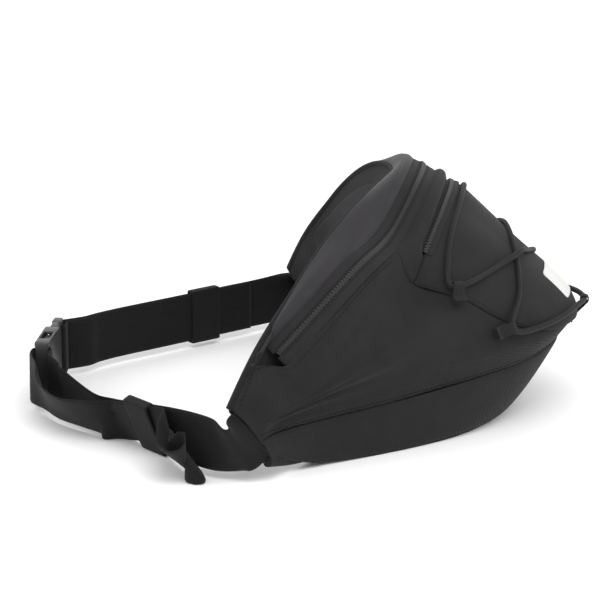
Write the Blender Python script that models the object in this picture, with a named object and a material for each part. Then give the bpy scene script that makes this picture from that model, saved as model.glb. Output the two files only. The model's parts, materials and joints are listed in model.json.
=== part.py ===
"""Waist pack standing on its base with the belt buckled behind it.

Metres, +Z up, front of the bag towards -Y, belt towards +Y, bag length along X.
The origin is the centre of the footprint of the whole object, on the ground.
"""
from math import atan2, cos, hypot, pi, radians, sin

import bpy
import numpy as np

for old in list(bpy.data.objects):
    bpy.data.objects.remove(old, do_unlink=True)

MM = 0.001

# ---------------------------------------------------------------- overall sizes
bag_length = 380 * MM            # between the two end seams
bag_height = 180 * MM            # ground to the crest of the yoke
bag_depth = 133 * MM             # back panel to the nose of the front pocket
belt_reach = 250 * MM            # back panel to the middle of the buckle

# ---------------------------------------------------------------- fabric and foam
fabric = 1.6 * MM                # laminated shell fabric with its lining
divider_fabric = 0.9 * MM
pad_thickness = 6 * MM
seam_gap = 0.5 * MM              # between panels that are sewn edge to edge
touch_gap = 0.3 * MM             # between pieces that touch

# ---------------------------------------------------------------- zips
main_zip_band = 19 * MM          # seam to seam across the main zip
front_zip_band = 11 * MM
coil_width = 5 * MM
coil_height = 1.6 * MM
tape_thickness = 1.0 * MM
main_zip_half_chord = 160 * MM
front_zip_half_chord = 80 * MM
slider_length = 11 * MM
slider_width = 9 * MM
slider_height = 4.5 * MM
pull_cord_diameter = 2.6 * MM
pull_length = 44 * MM
pull_tip_length = 20 * MM
pull_tip_diameter = 6 * MM
pull_leg_half = 1.6 * MM         # half the spacing of the loop's two legs at the tip
pull_bend = 1.6 * MM             # radius the cord turns through beside the bridge
slider_seat = 0.7 * MM           # under a slider, over the coil's facets
slider_spacing = 11.5            # degrees of arc between the two parked main sliders

# ---------------------------------------------------------------- webbing and cord
webbing_width = 38 * MM
webbing_thickness = 1.6 * MM
keeper_length = 26 * MM
keeper_clearance = 0.6 * MM
cord_diameter = 4.0 * MM
tab_width = 6 * MM
tab_fabric = 1.0 * MM

# ---------------------------------------------------------------- buckle
buckle_height = 49 * MM          # across the belt, from the ground up
buckle_thickness = 11 * MM
buckle_wall = 2.2 * MM
female_length = 43 * MM
male_frame_length = 24 * MM
prong_length = 27 * MM
prong_thickness = 4 * MM
buckle_clearance = 0.5 * MM


# ================================================================ small helpers
def vec(*values):
    return np.array(values, dtype=float)


def unit(v):
    return v / np.linalg.norm(v, axis=-1, keepdims=True)


def smooth(t):
    """Smooth step from 0 to 1."""
    t = np.clip(t, 0.0, 1.0)
    return t * t * (3.0 - 2.0 * t)


def catmull(points, per_span, closed=False):
    """Points on a smooth curve that passes through the given ones (a Catmull-Rom spline)."""
    points = np.asarray(points, dtype=float)
    count = len(points)
    spans = count if closed else count - 1
    out = []
    for i in range(spans):
        if closed:
            a, b, c, d = (points[(i + k) % count] for k in (-1, 0, 1, 2))
        else:
            b, c = points[i], points[i + 1]
            a = points[i - 1] if i > 0 else 2 * b - c
            d = points[i + 2] if i + 2 < count else 2 * c - b
        for t in np.arange(per_span) / per_span:
            out.append(0.5 * (2 * b + (c - a) * t + (2 * a - 5 * b + 4 * c - d) * t ** 2
                              + (3 * b - a - 3 * c + d) * t ** 3))
    if not closed:
        out.append(points[-1])
    return np.array(out)


def material(name, colour, roughness, metallic=0.0):
    mat = bpy.data.materials.get(name) or bpy.data.materials.new(name)
    mat.use_nodes = True
    shader = mat.node_tree.nodes["Principled BSDF"]
    shader.inputs["Base Color"].default_value = (*colour, 1.0)
    shader.inputs["Roughness"].default_value = roughness
    shader.inputs["Metallic"].default_value = metallic
    return mat


OXFORD = material("oxford_black", (0.030, 0.029, 0.030), 0.78)
TWILL = material("twill_black", (0.034, 0.033, 0.034), 0.72)
YOKE = material("yoke_black", (0.050, 0.047, 0.050), 0.55)
MESH = material("mesh_black", (0.018, 0.018, 0.018), 0.9)
LINING = material("lining_grey", (0.060, 0.060, 0.062), 0.8)
WEBBING = material("webbing_black", (0.020, 0.020, 0.020), 0.82)
PLASTIC = material("plastic_black", (0.045, 0.046, 0.048), 0.38)
COIL = material("coil_black", (0.025, 0.025, 0.025), 0.45)
METAL = material("slider_metal", (0.050, 0.050, 0.052), 0.35, 0.8)
CORD = material("cord_black", (0.016, 0.016, 0.016), 0.7)
PATCH = material("patch_light", (0.72, 0.72, 0.70), 0.5)

carrier = bpy.data.objects.new("ground_centre", None)
bpy.context.collection.objects.link(carrier)


def add_object(name, verts, faces, mat, origin=(0, 0, 0)):
    """One mesh object whose own origin is the given point; verts are in the bag's frame."""
    origin = vec(*origin)
    mesh = bpy.data.meshes.new(name)
    mesh.from_pydata([tuple(v) for v in np.asarray(verts) - origin], [], faces)
    mesh.materials.append(mat)
    mesh.validate()
    ob = bpy.data.objects.new(name, mesh)
    ob.location = origin
    ob.parent = carrier
    bpy.context.collection.objects.link(ob)
    return ob


def two_skins(name, outer, inner, mat):
    """Closed solid between two grids of points of the same shape (rows, columns)."""
    rows, cols = outer.shape[:2]
    verts = np.concatenate([outer.reshape(-1, 3), inner.reshape(-1, 3)])
    base = rows * cols
    faces = []
    for r in range(rows - 1):
        for c in range(cols - 1):
            a, b = r * cols + c, r * cols + c + 1
            d, e = a + cols, b + cols
            faces.append((a, b, e, d))
            faces.append((base + a, base + d, base + e, base + b))
    rim = [c for c in range(cols)] + [r * cols + cols - 1 for r in range(1, rows)]
    rim += [(rows - 1) * cols + c for c in range(cols - 2, -1, -1)]
    rim += [r * cols for r in range(rows - 2, 0, -1)]
    for a, b in zip(rim, rim[1:] + rim[:1]):
        faces.append((a, base + a, base + b, b))
    return face_outwards(add_object(name, verts, faces, mat))


def face_outwards(ob):
    """Flip every face if the closed mesh has a negative volume."""
    mesh = ob.data
    volume = 0.0
    points = [v.co for v in mesh.vertices]
    for poly in mesh.polygons:
        ids = list(poly.vertices)
        for i in range(1, len(ids) - 1):
            a, b, c = points[ids[0]], points[ids[i]], points[ids[i + 1]]
            volume += a.dot(b.cross(c))
    if volume < 0:
        mesh.flip_normals()
    return ob


def swept(name, path, profile, side, mat, origin):
    """Carry a closed 2-D profile (offsets along side and along side x tangent) along a path."""
    path = np.asarray(path, dtype=float)
    tangent = unit(np.gradient(path, axis=0))
    side = np.broadcast_to(np.asarray(side, dtype=float), path.shape)
    side = unit(side - (side * tangent).sum(-1, keepdims=True) * tangent)
    other = np.cross(tangent, side)
    rings = path[:, None] + profile[None, :, :1] * side[:, None] + profile[None, :, 1:] * other[:, None]
    return tube_of_rings(name, rings, mat, origin)


def tube_of_rings(name, rings, mat, origin=(0, 0, 0)):
    """Closed tube through a row of rings of points, with a cap at each end."""
    count, size = rings.shape[:2]
    faces = [tuple(range(size - 1, -1, -1)), tuple((count - 1) * size + c for c in range(size))]
    for r in range(count - 1):
        for c in range(size):
            a, b = r * size + c, r * size + (c + 1) % size
            faces.append((a, b, b + size, a + size))
    return face_outwards(add_object(name, rings.reshape(-1, 3), faces, mat, origin))


def rounded_box(half_w, half_h, radius, steps):
    """Outline of a rectangle with round corners, anticlockwise."""
    out = []
    for k, (sx, sy) in enumerate(((1, 1), (-1, 1), (-1, -1), (1, -1))):
        for i in range(steps + 1):
            angle = pi / 2 * (k + i / steps)
            out.append((sx * (half_w - radius) + radius * cos(angle),
                        sy * (half_h - radius) + radius * sin(angle)))
    return np.array(out)


def circle(radius, count):
    angles = np.arange(count) * 2 * pi / count
    return np.stack([radius * np.cos(angles), radius * np.sin(angles)], axis=1)


# ================================================================ the bag's lines
# Each line runs the length of the bag as a function of x; (y, z) at the middle and at the end
# seam, with two pairs of exponents for how it bulges in between.
half = bag_length / 2
back_y = -65 * MM
nose_y = back_y - bag_depth
crest_z = bag_height
flat_half = 0.55 * half          # half length of the part that touches the ground
end_top = vec(27 * MM, 49 * MM)  # (y, z) of the end seam's upper and lower corners
end_low = vec(0, 17 * MM)
end_bulge = 10 * MM              # how far the front stands off the back at the end seam


def end_point(share):
    """(y, z) on the front side of the end seam, from its upper to its lower corner."""
    run = end_low - end_top
    outward = unit(vec(run[1], -run[0]))
    return end_top + share * run + outward * end_bulge * (0.35 + 0.65 * sin(pi * share))


def bulging(x, middle, share, ey, ez):
    """(y, z) of a line that starts at middle and reaches the end seam."""
    s = np.clip(np.abs(x) / half, 0, 1)
    end = end_point(share)
    wy = (1 - s ** ey[0]) ** ey[1]
    wz = (1 - s ** ez[0]) ** ez[1]
    return np.stack([end[0] + (middle[0] - end[0]) * wy, end[1] + (middle[1] - end[1]) * wz], -1)


class Arc:
    """Zip track: a circular arc in a plane that holds the X direction."""

    def __init__(self, top, foot, half_chord):
        top, foot = vec(*top), vec(*foot)
        rise = np.linalg.norm(top - foot)
        self.up = unit(top - foot)                       # (y, z) in the arc's plane
        self.normal = vec(self.up[1], -self.up[0])       # (y, z) across it, towards the back
        self.radius = (half_chord ** 2 + rise ** 2) / (2 * rise)
        self.centre = top - self.radius * self.up
        self.limit = atan2(half_chord, self.radius - rise)

    def point(self, angle, out=0.0, across=0.0):
        """Point at an angle from the middle, moved outwards and across towards the back."""
        angle = np.asarray(angle, dtype=float)
        r = self.radius + out
        y = self.centre[0] + r * np.cos(angle) * self.up[0] + across * self.normal[0]
        z = self.centre[1] + r * np.cos(angle) * self.up[1] + across * self.normal[1]
        return np.stack([r * np.sin(angle), y, z], -1)

    def radial(self, angle):
        return vec(sin(angle), cos(angle) * self.up[0], cos(angle) * self.up[1])

    def tangent(self, angle):
        return vec(cos(angle), -sin(angle) * self.up[0], -sin(angle) * self.up[1])

    def axis(self):
        return vec(0, *self.normal)

    def at_x(self, x, out, across):
        """(y, z) of the coaxial arc at x."""
        angle = np.arcsin(np.clip(x / (self.radius + out), -1, 1))
        return self.point(angle, out, across)[..., 1:]


main_lean = 0.28                 # how much the band's two edges differ in radius, per width
front_lean = 0.30


def to_end(x, line, share, start):
    """Past the end of a zip its seam line runs straight to the end seam."""
    inside = line(np.clip(x, -start, start))
    t = np.clip((np.abs(x) - start) / (half - start), 0, 1)[..., None]
    return inside * (1 - t) + end_point(share) * t


def line_back_low(x):
    s = np.abs(x) / half
    y = back_y + (end_low[0] - back_y) * s ** 1.45
    return np.stack([y, ground_rise(x)], -1)


def ground_rise(x):
    over = np.clip((np.abs(x) - flat_half) / (half - flat_half), 0, 1)
    return end_low[1] * over ** 2


def line_back_top(x):
    s = np.abs(x) / half
    y = back_y - 3 * MM + (end_top[0] - back_y + 3 * MM) * s ** 1.45
    return np.stack([y, crest_z - 6 * MM + (end_top[1] - crest_z + 6 * MM) * s ** 2.4], -1)


main_zip_foot = line_back_top(vec(main_zip_half_chord))[0] - vec(8.3, 8.5) * MM
main_zip = Arc((back_y - 23.5 * MM, crest_z - 4.5 * MM), main_zip_foot, main_zip_half_chord)
front_zip_top = vec(back_y - 44 * MM, crest_z - 15 * MM)
front_zip_foot = front_zip_top + vec(13.5, -30) * MM
front_zip = Arc(front_zip_top, front_zip_foot, front_zip_half_chord)


def line_seam_yoke(x):
    edge = main_zip_band / 2
    start = (main_zip.radius - main_lean * edge) * sin(main_zip.limit)
    return to_end(x, lambda v: main_zip.at_x(v, -main_lean * edge, edge), 0.03, start)


def line_seam_shell(x):
    edge = main_zip_band / 2
    start = (main_zip.radius + main_lean * edge) * sin(main_zip.limit)
    return to_end(x, lambda v: main_zip.at_x(v, main_lean * edge, -edge), 0.12, start)


def line_front_zip(x):
    arc = front_zip.at_x(np.clip(x, -95 * MM, 95 * MM), 0, 0)
    free = bulging(x, front_zip_top, 0.30, (2.6, 1.0), (2.0, 1.5))
    t = smooth((np.abs(x) - front_zip_half_chord) / (20 * MM))[..., None]
    return arc * (1 - t) + free * t


def line_slope(x):
    middle = (back_y - 0.67 * bag_depth, 0.685 * bag_height)
    return bulging(x, middle, 0.45, (2.6, 1.35), (2.0, 1.38))


def line_nose(x):
    return bulging(x, (nose_y, 0.45 * bag_height), 0.60, (2.3, 1.9), (2.0, 1.2))


def line_bottom_seam(x):
    return bulging(x, (nose_y + 10 * MM, 0.32 * bag_height), 0.72, (2.3, 2.2), (2.0, 3.0))


def line_front_low(x):
    plan = bulging(x, (nose_y + 45 * MM, 7 * MM), 0.88, (2.3, 1.9), (2.0, 1.9))
    toe = 5 * MM * np.clip(1 - (x / flat_half) ** 2, 0, 1)
    heel = (end_point(0.88)[1] - end_low[1]) * smooth((np.abs(x) / half - 0.7) / 0.3)
    return np.stack([plan[..., 0], ground_rise(x) + toe + heel], -1)


def line_flat_front(x):
    plan = bulging(x, (nose_y + 75 * MM, 0), 0.94, (2.3, 1.9), (2.0, 1.9))
    return np.stack([plan[..., 0], ground_rise(x)], -1)


LINES = (line_back_low, line_back_top, line_seam_yoke, line_seam_shell, line_front_zip, line_slope,
         line_nose, line_bottom_seam, line_front_low, line_flat_front, line_back_low)
BACK_LOW, BACK_TOP, SEAM_YOKE, SEAM_SHELL, FRONT_ZIP, SLOPE = range(6)
NOSE, BOTTOM_SEAM, FRONT_LOW, FLAT_FRONT, CLOSE = range(6, 11)


def surface(x, v):
    """Point of the bag's outer surface: x along the bag, v from line to line around it."""
    x, v = np.broadcast_arrays(np.asarray(x, dtype=float), np.asarray(v, dtype=float))
    table = np.stack([line(x) for line in LINES], -2)            # ... lines, (y, z)
    k = np.clip(np.floor(v).astype(int), 0, CLOSE - 1)
    t = (v - k)[..., None]

    def pick(i):
        return np.take_along_axis(table, i[..., None, None].repeat(2, -1), -2)[..., 0, :]

    b, c = pick(k), pick(k + 1)
    a = np.where((k > BACK_TOP)[..., None], pick(np.clip(k - 1, 0, CLOSE)), 2 * b - c)
    d = np.where((k < FLAT_FRONT - 1)[..., None], pick(np.clip(k + 2, 0, CLOSE)), 2 * c - b)
    curve = 0.5 * (2 * b + (c - a) * t + (2 * a - 5 * b + 4 * c - d) * t ** 2
                   + (3 * b - a - 3 * c + d) * t ** 3)
    straight = b + (c - b) * t
    flat = ((k == BACK_LOW) | (k >= FLAT_FRONT))[..., None]
    yz = np.where(flat, straight, curve)
    yz[..., 1] = np.maximum(yz[..., 1], ground_rise(x))
    return np.concatenate([x[..., None], yz], -1)


def outward(x, v):
    """Unit normal of the surface, pointing out of the bag."""
    step = 0.5 * MM
    k = np.floor(v)
    low, high = np.clip(v - 0.03, k, None), np.clip(v + 0.03, None, k + 1)
    across = surface(x, high) - surface(x, low)
    along = surface(x + step, v) - surface(x - step, v)
    return unit(np.cross(across, along))


def panel(name, x, v, thickness, mat, lift=0.0):
    """Fabric panel on the surface: x and v are grids; thickness is measured inwards."""
    points, normal = surface(x, v), outward(x, v)
    outer = points + normal * lift
    inner = points + normal * (lift - thickness)
    return two_skins(name, outer, inner, mat)


def share(x, line, distance):
    """How much of v a distance across the surface is, measured from one line to the next."""
    x = np.asarray(x, dtype=float)
    width = np.linalg.norm(LINES[line + 1](x) - LINES[line](x), axis=-1)
    return distance / np.maximum(width, 0.1 * MM)


def stations(limit, count):
    """x positions from -limit to limit, closer together towards the ends."""
    spread = radians(75)
    return limit * np.sin(np.linspace(-spread, spread, count)) / sin(spread)


def rows(low, high, count):
    """Grid of v from low to high, which are arrays over x."""
    t = np.linspace(0, 1, count)[:, None]
    return low + (high - low) * t


# ================================================================ back of the bag
back_inset = 1.0 * MM
back_gap = 0.5 * MM              # the back panel closes the shell from outside
wing_gap = 4.2 * MM              # more in the wings, where the front panels lean on it
end_inset = 1.0 * MM
x = stations(half - end_inset, 21)[None, :]
inset = share(x, BACK_LOW, back_inset)
v = rows(BACK_LOW + inset, BACK_TOP - inset, 4)
x = np.broadcast_to(x, v.shape)


def back_lift(x):
    """How far the outer face of the back panel stands off the bag's surface."""
    return back_gap + fabric + wing_gap * smooth((np.abs(x) / half - 0.7) / 0.2)


panel("back_panel", x, v, fabric, LINING, lift=back_lift(x)[..., None])

pad_inset = 9 * MM
pad_end = 26 * MM
pad_gap = 0.8 * MM               # the panel's facets bow between their edges
x = stations(half - end_inset, 21)[None, :]
x = x[:, np.abs(x[0]) < half - pad_end]
inset = share(x, BACK_LOW, pad_inset)
v = rows(BACK_LOW + inset, BACK_TOP - inset, 5)
edge = np.minimum(1, np.minimum(np.arange(5), 4 - np.arange(5)))[:, None] * np.ones(x.shape)
x = np.broadcast_to(x, v.shape)
edge[:, 0] = edge[:, -1] = 0
pad_face = pad_thickness * (0.45 + 0.55 * edge)
points, normal = surface(x, v), outward(x, v)
base = back_lift(x) + pad_gap
pad_outer = points + normal * (base + pad_face)[..., None]
two_skins("back_pad", pad_outer, points + normal * base[..., None], MESH)

# ================================================================ yoke, zip bands, gusset
yoke_half = main_zip_half_chord - 9 * MM
x = stations(yoke_half, 21)[None, :]
v = rows(BACK_TOP + 0 * x, SEAM_YOKE - share(x, BACK_TOP, seam_gap), 4)
panel("yoke", np.broadcast_to(x, v.shape), v, fabric, YOKE)


def zip_strip(name, arc, lean, near, far, low, high, reach, mat, count):
    """Strip along a zip track between two distances across it; low and high are heights."""
    angle = np.linspace(-reach, reach, count)[None, :] + np.zeros((2, 1))
    across = vec(near, far)[:, None] + np.zeros((1, count))
    outer = arc.point(angle, -lean * across + high, across)
    inner = arc.point(angle, -lean * across + low, across)
    return two_skins(name, outer, inner, mat)


for label, arc, lean, band, count in (("main", main_zip, main_lean, main_zip_band, 33),
                                      ("front", front_zip, front_lean, front_zip_band, 17)):
    inner_edge, outer_edge = coil_width / 2 + touch_gap, band / 2 - seam_gap
    reach = arc.limit - 1.5 * MM / arc.radius
    for piece, near, far, low, high, mat in (
            ("_tape_back", inner_edge, outer_edge, -tape_thickness, 0, TWILL),
            ("_tape_front", -outer_edge, -inner_edge, -tape_thickness, 0, TWILL),
            ("_coil", -coil_width / 2, coil_width / 2, -coil_height / 2, coil_height / 2, COIL)):
        zip_strip(label + piece, arc, lean, near, far, low, high, reach, mat, count)

# The tongue is the front of the bag above the crease: gusset, front zip and pocket panel.
tongue_half = front_zip_half_chord + 13 * MM
tongue_low = NOSE + 0.35
tongue_cut = NOSE + 0.28
crease_gap = 1.2 * MM            # the crease seam is folded in


def tongue_width(v):
    """Half width of the tongue at v, a superellipse from the shell seam to below the nose."""
    t = np.clip((v - SEAM_SHELL) / (tongue_low - SEAM_SHELL), 0, 1)
    return tongue_half * (1 - t ** 3) ** (1 / 3)


def crowded(low, high, count):
    """Values from low to high that crowd together towards high."""
    return low + (high - low) * (1 - (1 - np.linspace(0, 1, count)) ** 1.7)


def edge_of_zip(x, across):
    """Point beside the front zip at x, held at the zip's end beyond it."""
    reach = front_zip.limit
    out = -front_lean * across
    angle = np.clip(np.arcsin(np.clip(x / (front_zip.radius + out), -1, 1)), -reach, reach)
    return front_zip.point(angle, out, across)


u = np.sin(np.linspace(-1, 1, 21) * radians(75)) / sin(radians(75))
x = tongue_half * u * 0.985
band_edge = front_zip_band / 2
top = surface(x, SEAM_SHELL + share(x, SEAM_SHELL, seam_gap))
foot = edge_of_zip(x * front_zip_half_chord / tongue_half, band_edge)
t = np.linspace(0, 1, 3)[:, None, None]
gusset = top[None] + (foot - top)[None] * t
along = np.gradient(gusset, axis=1)
across = np.gradient(gusset, axis=0)
gusset_normal = unit(np.cross(across, along))
two_skins("gusset", gusset, gusset - gusset_normal * fabric, TWILL)

v_line = crowded(FRONT_ZIP + 0.03, tongue_cut - 0.08, 15)[:, None]
x = (tongue_width(v_line) - seam_gap) * u[None, :]
v = v_line + share(x, FRONT_ZIP, band_edge) * (1 - smooth((v_line - FRONT_ZIP) / 0.6))
panel("front_panel", x, v, fabric, TWILL)

divider_depth = 15 * MM
v_line = np.linspace(FRONT_ZIP + 0.35, tongue_cut - 0.1, 9)[:, None]
x = (tongue_width(v_line) - 14 * MM) * np.linspace(-1, 1, 13)[None, :]
v = v_line + 0 * x
panel("pocket_divider", x, v, divider_fabric, LINING, lift=-divider_depth)

# ================================================================ side and bottom panels
wing_start = main_zip_half_chord + 4 * MM
for label, sign in (("left", -1), ("right", 1)):
    v_base = np.concatenate([crowded(SEAM_SHELL, tongue_cut - 0.02, 14),
                             [tongue_cut, 0.5 * (tongue_low + BOTTOM_SEAM), BOTTOM_SEAM]])
    inner_x = np.where(v_base < tongue_cut, tongue_width(v_base) + crease_gap, seam_gap)
    u = np.linspace(0, 1, 9)[None, :]
    body = inner_x[:, None] + (wing_start - inner_x[:, None]) * u
    wing = wing_start + (half - end_inset - wing_start) * vec(0.12, 0.24, 0.5, 0.75, 1)[None, :]
    x = np.concatenate([body, wing + 0 * v_base[:, None]], 1)
    seam = np.minimum(share(x, SEAM_SHELL, seam_gap), 0.2)
    top_v = SEAM_SHELL + seam - (SEAM_SHELL + seam - BACK_TOP) * smooth((x - wing_start) / (7 * MM))
    low_v = BOTTOM_SEAM - share(x, NOSE, seam_gap)
    w = (v_base[:, None] - SEAM_SHELL) / (BOTTOM_SEAM - SEAM_SHELL)
    v = top_v + (low_v - top_v) * w
    panel("side_panel_" + label, sign * x, v, fabric, OXFORD)

x = stations(half - end_inset, 21)[None, :]
v_part = np.concatenate([np.linspace(BOTTOM_SEAM, FLAT_FRONT, 5), [CLOSE]])[:, None]
start = BOTTOM_SEAM + np.minimum(share(x, BOTTOM_SEAM, seam_gap), 0.2)
v = np.where(v_part > BOTTOM_SEAM, v_part, start)
x = np.broadcast_to(x, v.shape)
wing_fabric = 0.8 * MM           # the laminate is skived thin where it turns into the end seam
thinned = fabric - (fabric - wing_fabric) * smooth((np.abs(x) / half - 0.75) / 0.2)
panel("bottom_panel", x, v, thinned[..., None], OXFORD)

# ================================================================ reflective patch
patch_fabric = 0.5 * MM
patch_gap = 0.8 * MM             # the panel's facets bow under the flat patch
x = np.linspace(-18 * MM, 18 * MM, 5)[None, :]
v = np.linspace(SLOPE + 0.42, SLOPE + 0.84, 4)[:, None] + 0 * x
panel("reflective_patch", x + 0 * v, v, patch_fabric, PATCH, lift=patch_gap + patch_fabric)


# ================================================================ parts made of plates with a hole
def frame_from(axis_u, axis_w):
    """Three right-angled directions: along, up and through."""
    axis_u = unit(vec(*axis_u))
    axis_w = unit(vec(*axis_w) - np.dot(axis_w, axis_u) * axis_u)
    return axis_u, np.cross(axis_u, axis_w), axis_w


def eyelet(name, outer, hole, centre, axis_u, axis_w, half_width, mat, origin):
    """Plate with one hole: two outlines with equal point counts, drawn in (u, v), pulled along w."""
    axis_u, axis_v, axis_w = frame_from(axis_u, axis_w)
    count = len(outer)

    def place(outline, w):
        return centre + outline[:, :1] * axis_u + outline[:, 1:] * axis_v + w * axis_w

    verts = np.concatenate([place(outer, -half_width), place(outer, half_width),
                            place(hole, -half_width), place(hole, half_width)])
    faces = []
    for i in range(count):
        j = (i + 1) % count
        o0, o1, p0, p1 = i, j, count + i, count + j
        h0, h1, q0, q1 = 2 * count + i, 2 * count + j, 3 * count + i, 3 * count + j
        faces += [(o0, o1, p1, p0), (h0, q0, q1, h1), (p0, p1, q1, q0), (o0, h0, h1, o1)]
    return face_outwards(add_object(name, verts, faces, mat, origin))


def oblong(half_u, half_v, power, shift=(0, 0)):
    """Superellipse outline: nearly a rectangle with round corners, or an ellipse at power 2."""
    angles = (np.arange(12) + 0.5) * pi / 6
    c, s = np.cos(angles), np.sin(angles)
    size = (np.abs(c) ** power + np.abs(s) ** power) ** (-1 / power)
    return np.stack([half_u * c * size + shift[0], half_v * s * size + shift[1]], 1)


# ================================================================ sliders and pulls
pull_hole = pull_cord_diameter / 2 + touch_gap
bridge_wall = 1.2 * MM           # metal left over the hole in a slider's bridge


def slider_and_pull(label, arc, angle, pull_tilt):
    """Slider over the coil with its bridge, a cord loop through the bridge and a moulded tip."""
    tangent, radial = arc.tangent(angle), arc.radial(angle)
    seat = coil_height / 2 + slider_seat
    height = slider_height + pull_cord_diameter
    centre = arc.point(angle, seat + height / 2)
    outer = oblong(slider_length / 2, height / 2, 4)
    hole_rise = height / 2 - pull_hole - bridge_wall
    hole = oblong(pull_hole, pull_hole, 2, shift=(0, hole_rise))
    half_width = slider_width / 2 * 0.75
    eyelet(label + "_slider", outer, hole, centre, tangent, arc.axis(), half_width, METAL,
           arc.point(angle))
    pivot = centre + radial * hole_rise
    direction = tangent * cos(pull_tilt) + radial * sin(pull_tilt)
    across = arc.axis()
    away = np.cross(across, direction)
    loop_half = half_width + touch_gap + pull_bend
    leg = pull_length - pull_tip_length
    legs = []
    for t in np.linspace(0.25, 1, 4):
        spread = loop_half - (loop_half - pull_leg_half) * smooth(4 * t - 3)
        legs.append((leg * t, spread))
    path = [pivot + direction * d - across * w for d, w in reversed(legs)]
    corner = [(pull_bend * (1 - cos(a)), loop_half - pull_bend * (1 - sin(a)))
              for a in np.radians((0, 30, 60, 90))]
    path += [pivot + direction * d - across * w for d, w in reversed(corner)]
    path += [pivot + direction * d + across * w for d, w in corner]
    path += [pivot + direction * d + across * w for d, w in legs]
    swept(label + "_pull_cord", path, circle(pull_cord_diameter / 2, 8), away, CORD, pivot)
    stops = (leg + touch_gap + pull_tip_length * vec(0, 0.08, 0.5, 0.92, 1))[:, None, None]
    radii = (pull_tip_diameter / 2 * vec(0.75, 1.0, 1.0, 0.9, 0.6))[:, None, None]
    ring = circle(1, 10)
    rings = pivot + direction * stops + radii * (ring[:, :1] * across + ring[:, 1:] * away)
    tube_of_rings(label + "_pull_tip", rings, PLASTIC, pivot)


park = radians(3.5)
slider_and_pull("outer", main_zip, main_zip.limit - park, radians(14))
slider_and_pull("inner", main_zip, main_zip.limit - park - radians(slider_spacing), radians(24))
slider_and_pull("pocket", front_zip, front_zip.limit - radians(5), radians(18))

# ================================================================ elastic cord and its tabs
# The lacing as (x share of the half length, v, extra lift) on the surface, from the ring at the
# nose up one side, across the top and down the other side; the legs cross left of the middle.
cord_lift = cord_diameter / 2 + 1.0 * MM
LACING = [
    (0.000, 6.05, 4.7), (-0.080, 6.00, 2.6), (-0.180, 5.99, 1.0), (-0.270, 5.97, 1.0),
    (-0.340, 5.93, 2.4), (-0.383, 5.85, 3.9), (-0.396, 5.73, 4.6), (-0.383, 5.61, 3.9),
    (-0.350, 5.50, 2.0), (-0.295, 5.36, 0.0), (-0.220, 5.17, 0.0), (-0.150, 5.05, 0.0),
    (-0.060, 4.95, 0.0), (0.080, 4.84, 0.0), (0.200, 4.80, 0.0), (0.320, 4.79, 1.2),
    (0.412, 4.76, 3.2), (0.450, 4.66, 4.4), (0.452, 4.53, 2.0), (0.400, 4.36, 0.0),
    (0.300, 4.24, 0.0), (0.150, 4.20, 0.0), (0.000, 4.19, 0.0), (-0.150, 4.20, 0.0),
    (-0.300, 4.24, 0.0), (-0.400, 4.36, 0.0), (-0.452, 4.53, 2.0), (-0.450, 4.66, 4.4),
    (-0.412, 4.77, 3.2), (-0.340, 4.86, 1.2), (-0.270, 4.93, 0.6), (-0.205, 5.00, 3.5),
    (-0.150, 5.05, 5.4), (-0.095, 5.10, 3.5), (-0.020, 5.17, 0.6), (0.100, 5.26, 0.0),
    (0.220, 5.34, 0.0), (0.345, 5.50, 2.0), (0.383, 5.61, 3.9), (0.396, 5.73, 4.6),
    (0.383, 5.85, 3.9), (0.340, 5.93, 2.4), (0.270, 5.97, 1.0), (0.180, 5.99, 1.0),
    (0.080, 6.00, 2.6),
]
table = np.array(LACING)
knots = surface(table[:, 0] * half, table[:, 1])
knots = knots + outward(table[:, 0] * half, table[:, 1]) * (cord_lift + table[:, 2] * MM)[:, None]
route = catmull(knots, 2, closed=True)

curve = bpy.data.curves.new("elastic_cord", "CURVE")
curve.dimensions = "3D"
curve.bevel_depth = cord_diameter / 2
curve.bevel_resolution = 2
spline = curve.splines.new("POLY")
spline.points.add(len(route) - 1)
spline.use_cyclic_u = True
for point, place in zip(spline.points, route):
    point.co = (*place, 1)
curve.materials.append(CORD)
cord = bpy.data.objects.new("elastic_cord", curve)
cord.parent = carrier
bpy.context.collection.objects.link(cord)

tab_hole = cord_diameter / 2 + 2.2 * MM   # the cord bends inside the tab


def cord_tab(name, index, reach, drop):
    """Webbing folded round the cord at one of its knots, with its tail laid on the panel."""
    centre = 0.5 * knots[index] + 0.25 * (route[2 * index - 1] + route[2 * index + 1])
    spot, v = table[index, 0] * half, table[index, 1]
    along = unit(route[2 * index + 1] - route[2 * index - 1])
    normal = outward(spot, v)
    away = reach - np.dot(reach, along) * along
    away = unit(away - 0.15 * normal)
    count = 14
    angles = np.arange(count) * 2 * pi / count
    hole = tab_hole * np.stack([np.cos(angles), np.sin(angles)], 1)
    outer = (tab_hole + tab_fabric) * np.stack([np.cos(angles), np.sin(angles)], 1)
    outer[0, 0] += drop
    outer[[1, -1], 0] += drop * 0.8
    outer[[1, -1], 1] *= 0.9
    eyelet(name, outer, hole, centre, away, along, tab_width / 2, WEBBING, centre)


side_reach = 9 * MM
cord_tab("cord_tab_low_left", 6, vec(-1, 0.1, -0.9), side_reach)
cord_tab("cord_tab_high_right", 17, vec(1, 0.2, -0.4), side_reach)
cord_tab("cord_tab_high_left", 27, vec(-1, 0.2, -0.4), side_reach)
cord_tab("cord_tab_low_right", 39, vec(1, 0.1, -0.9), side_reach)
cord_tab("cord_tab_nose", 0, vec(0, 0.2, -1), side_reach)

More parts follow.
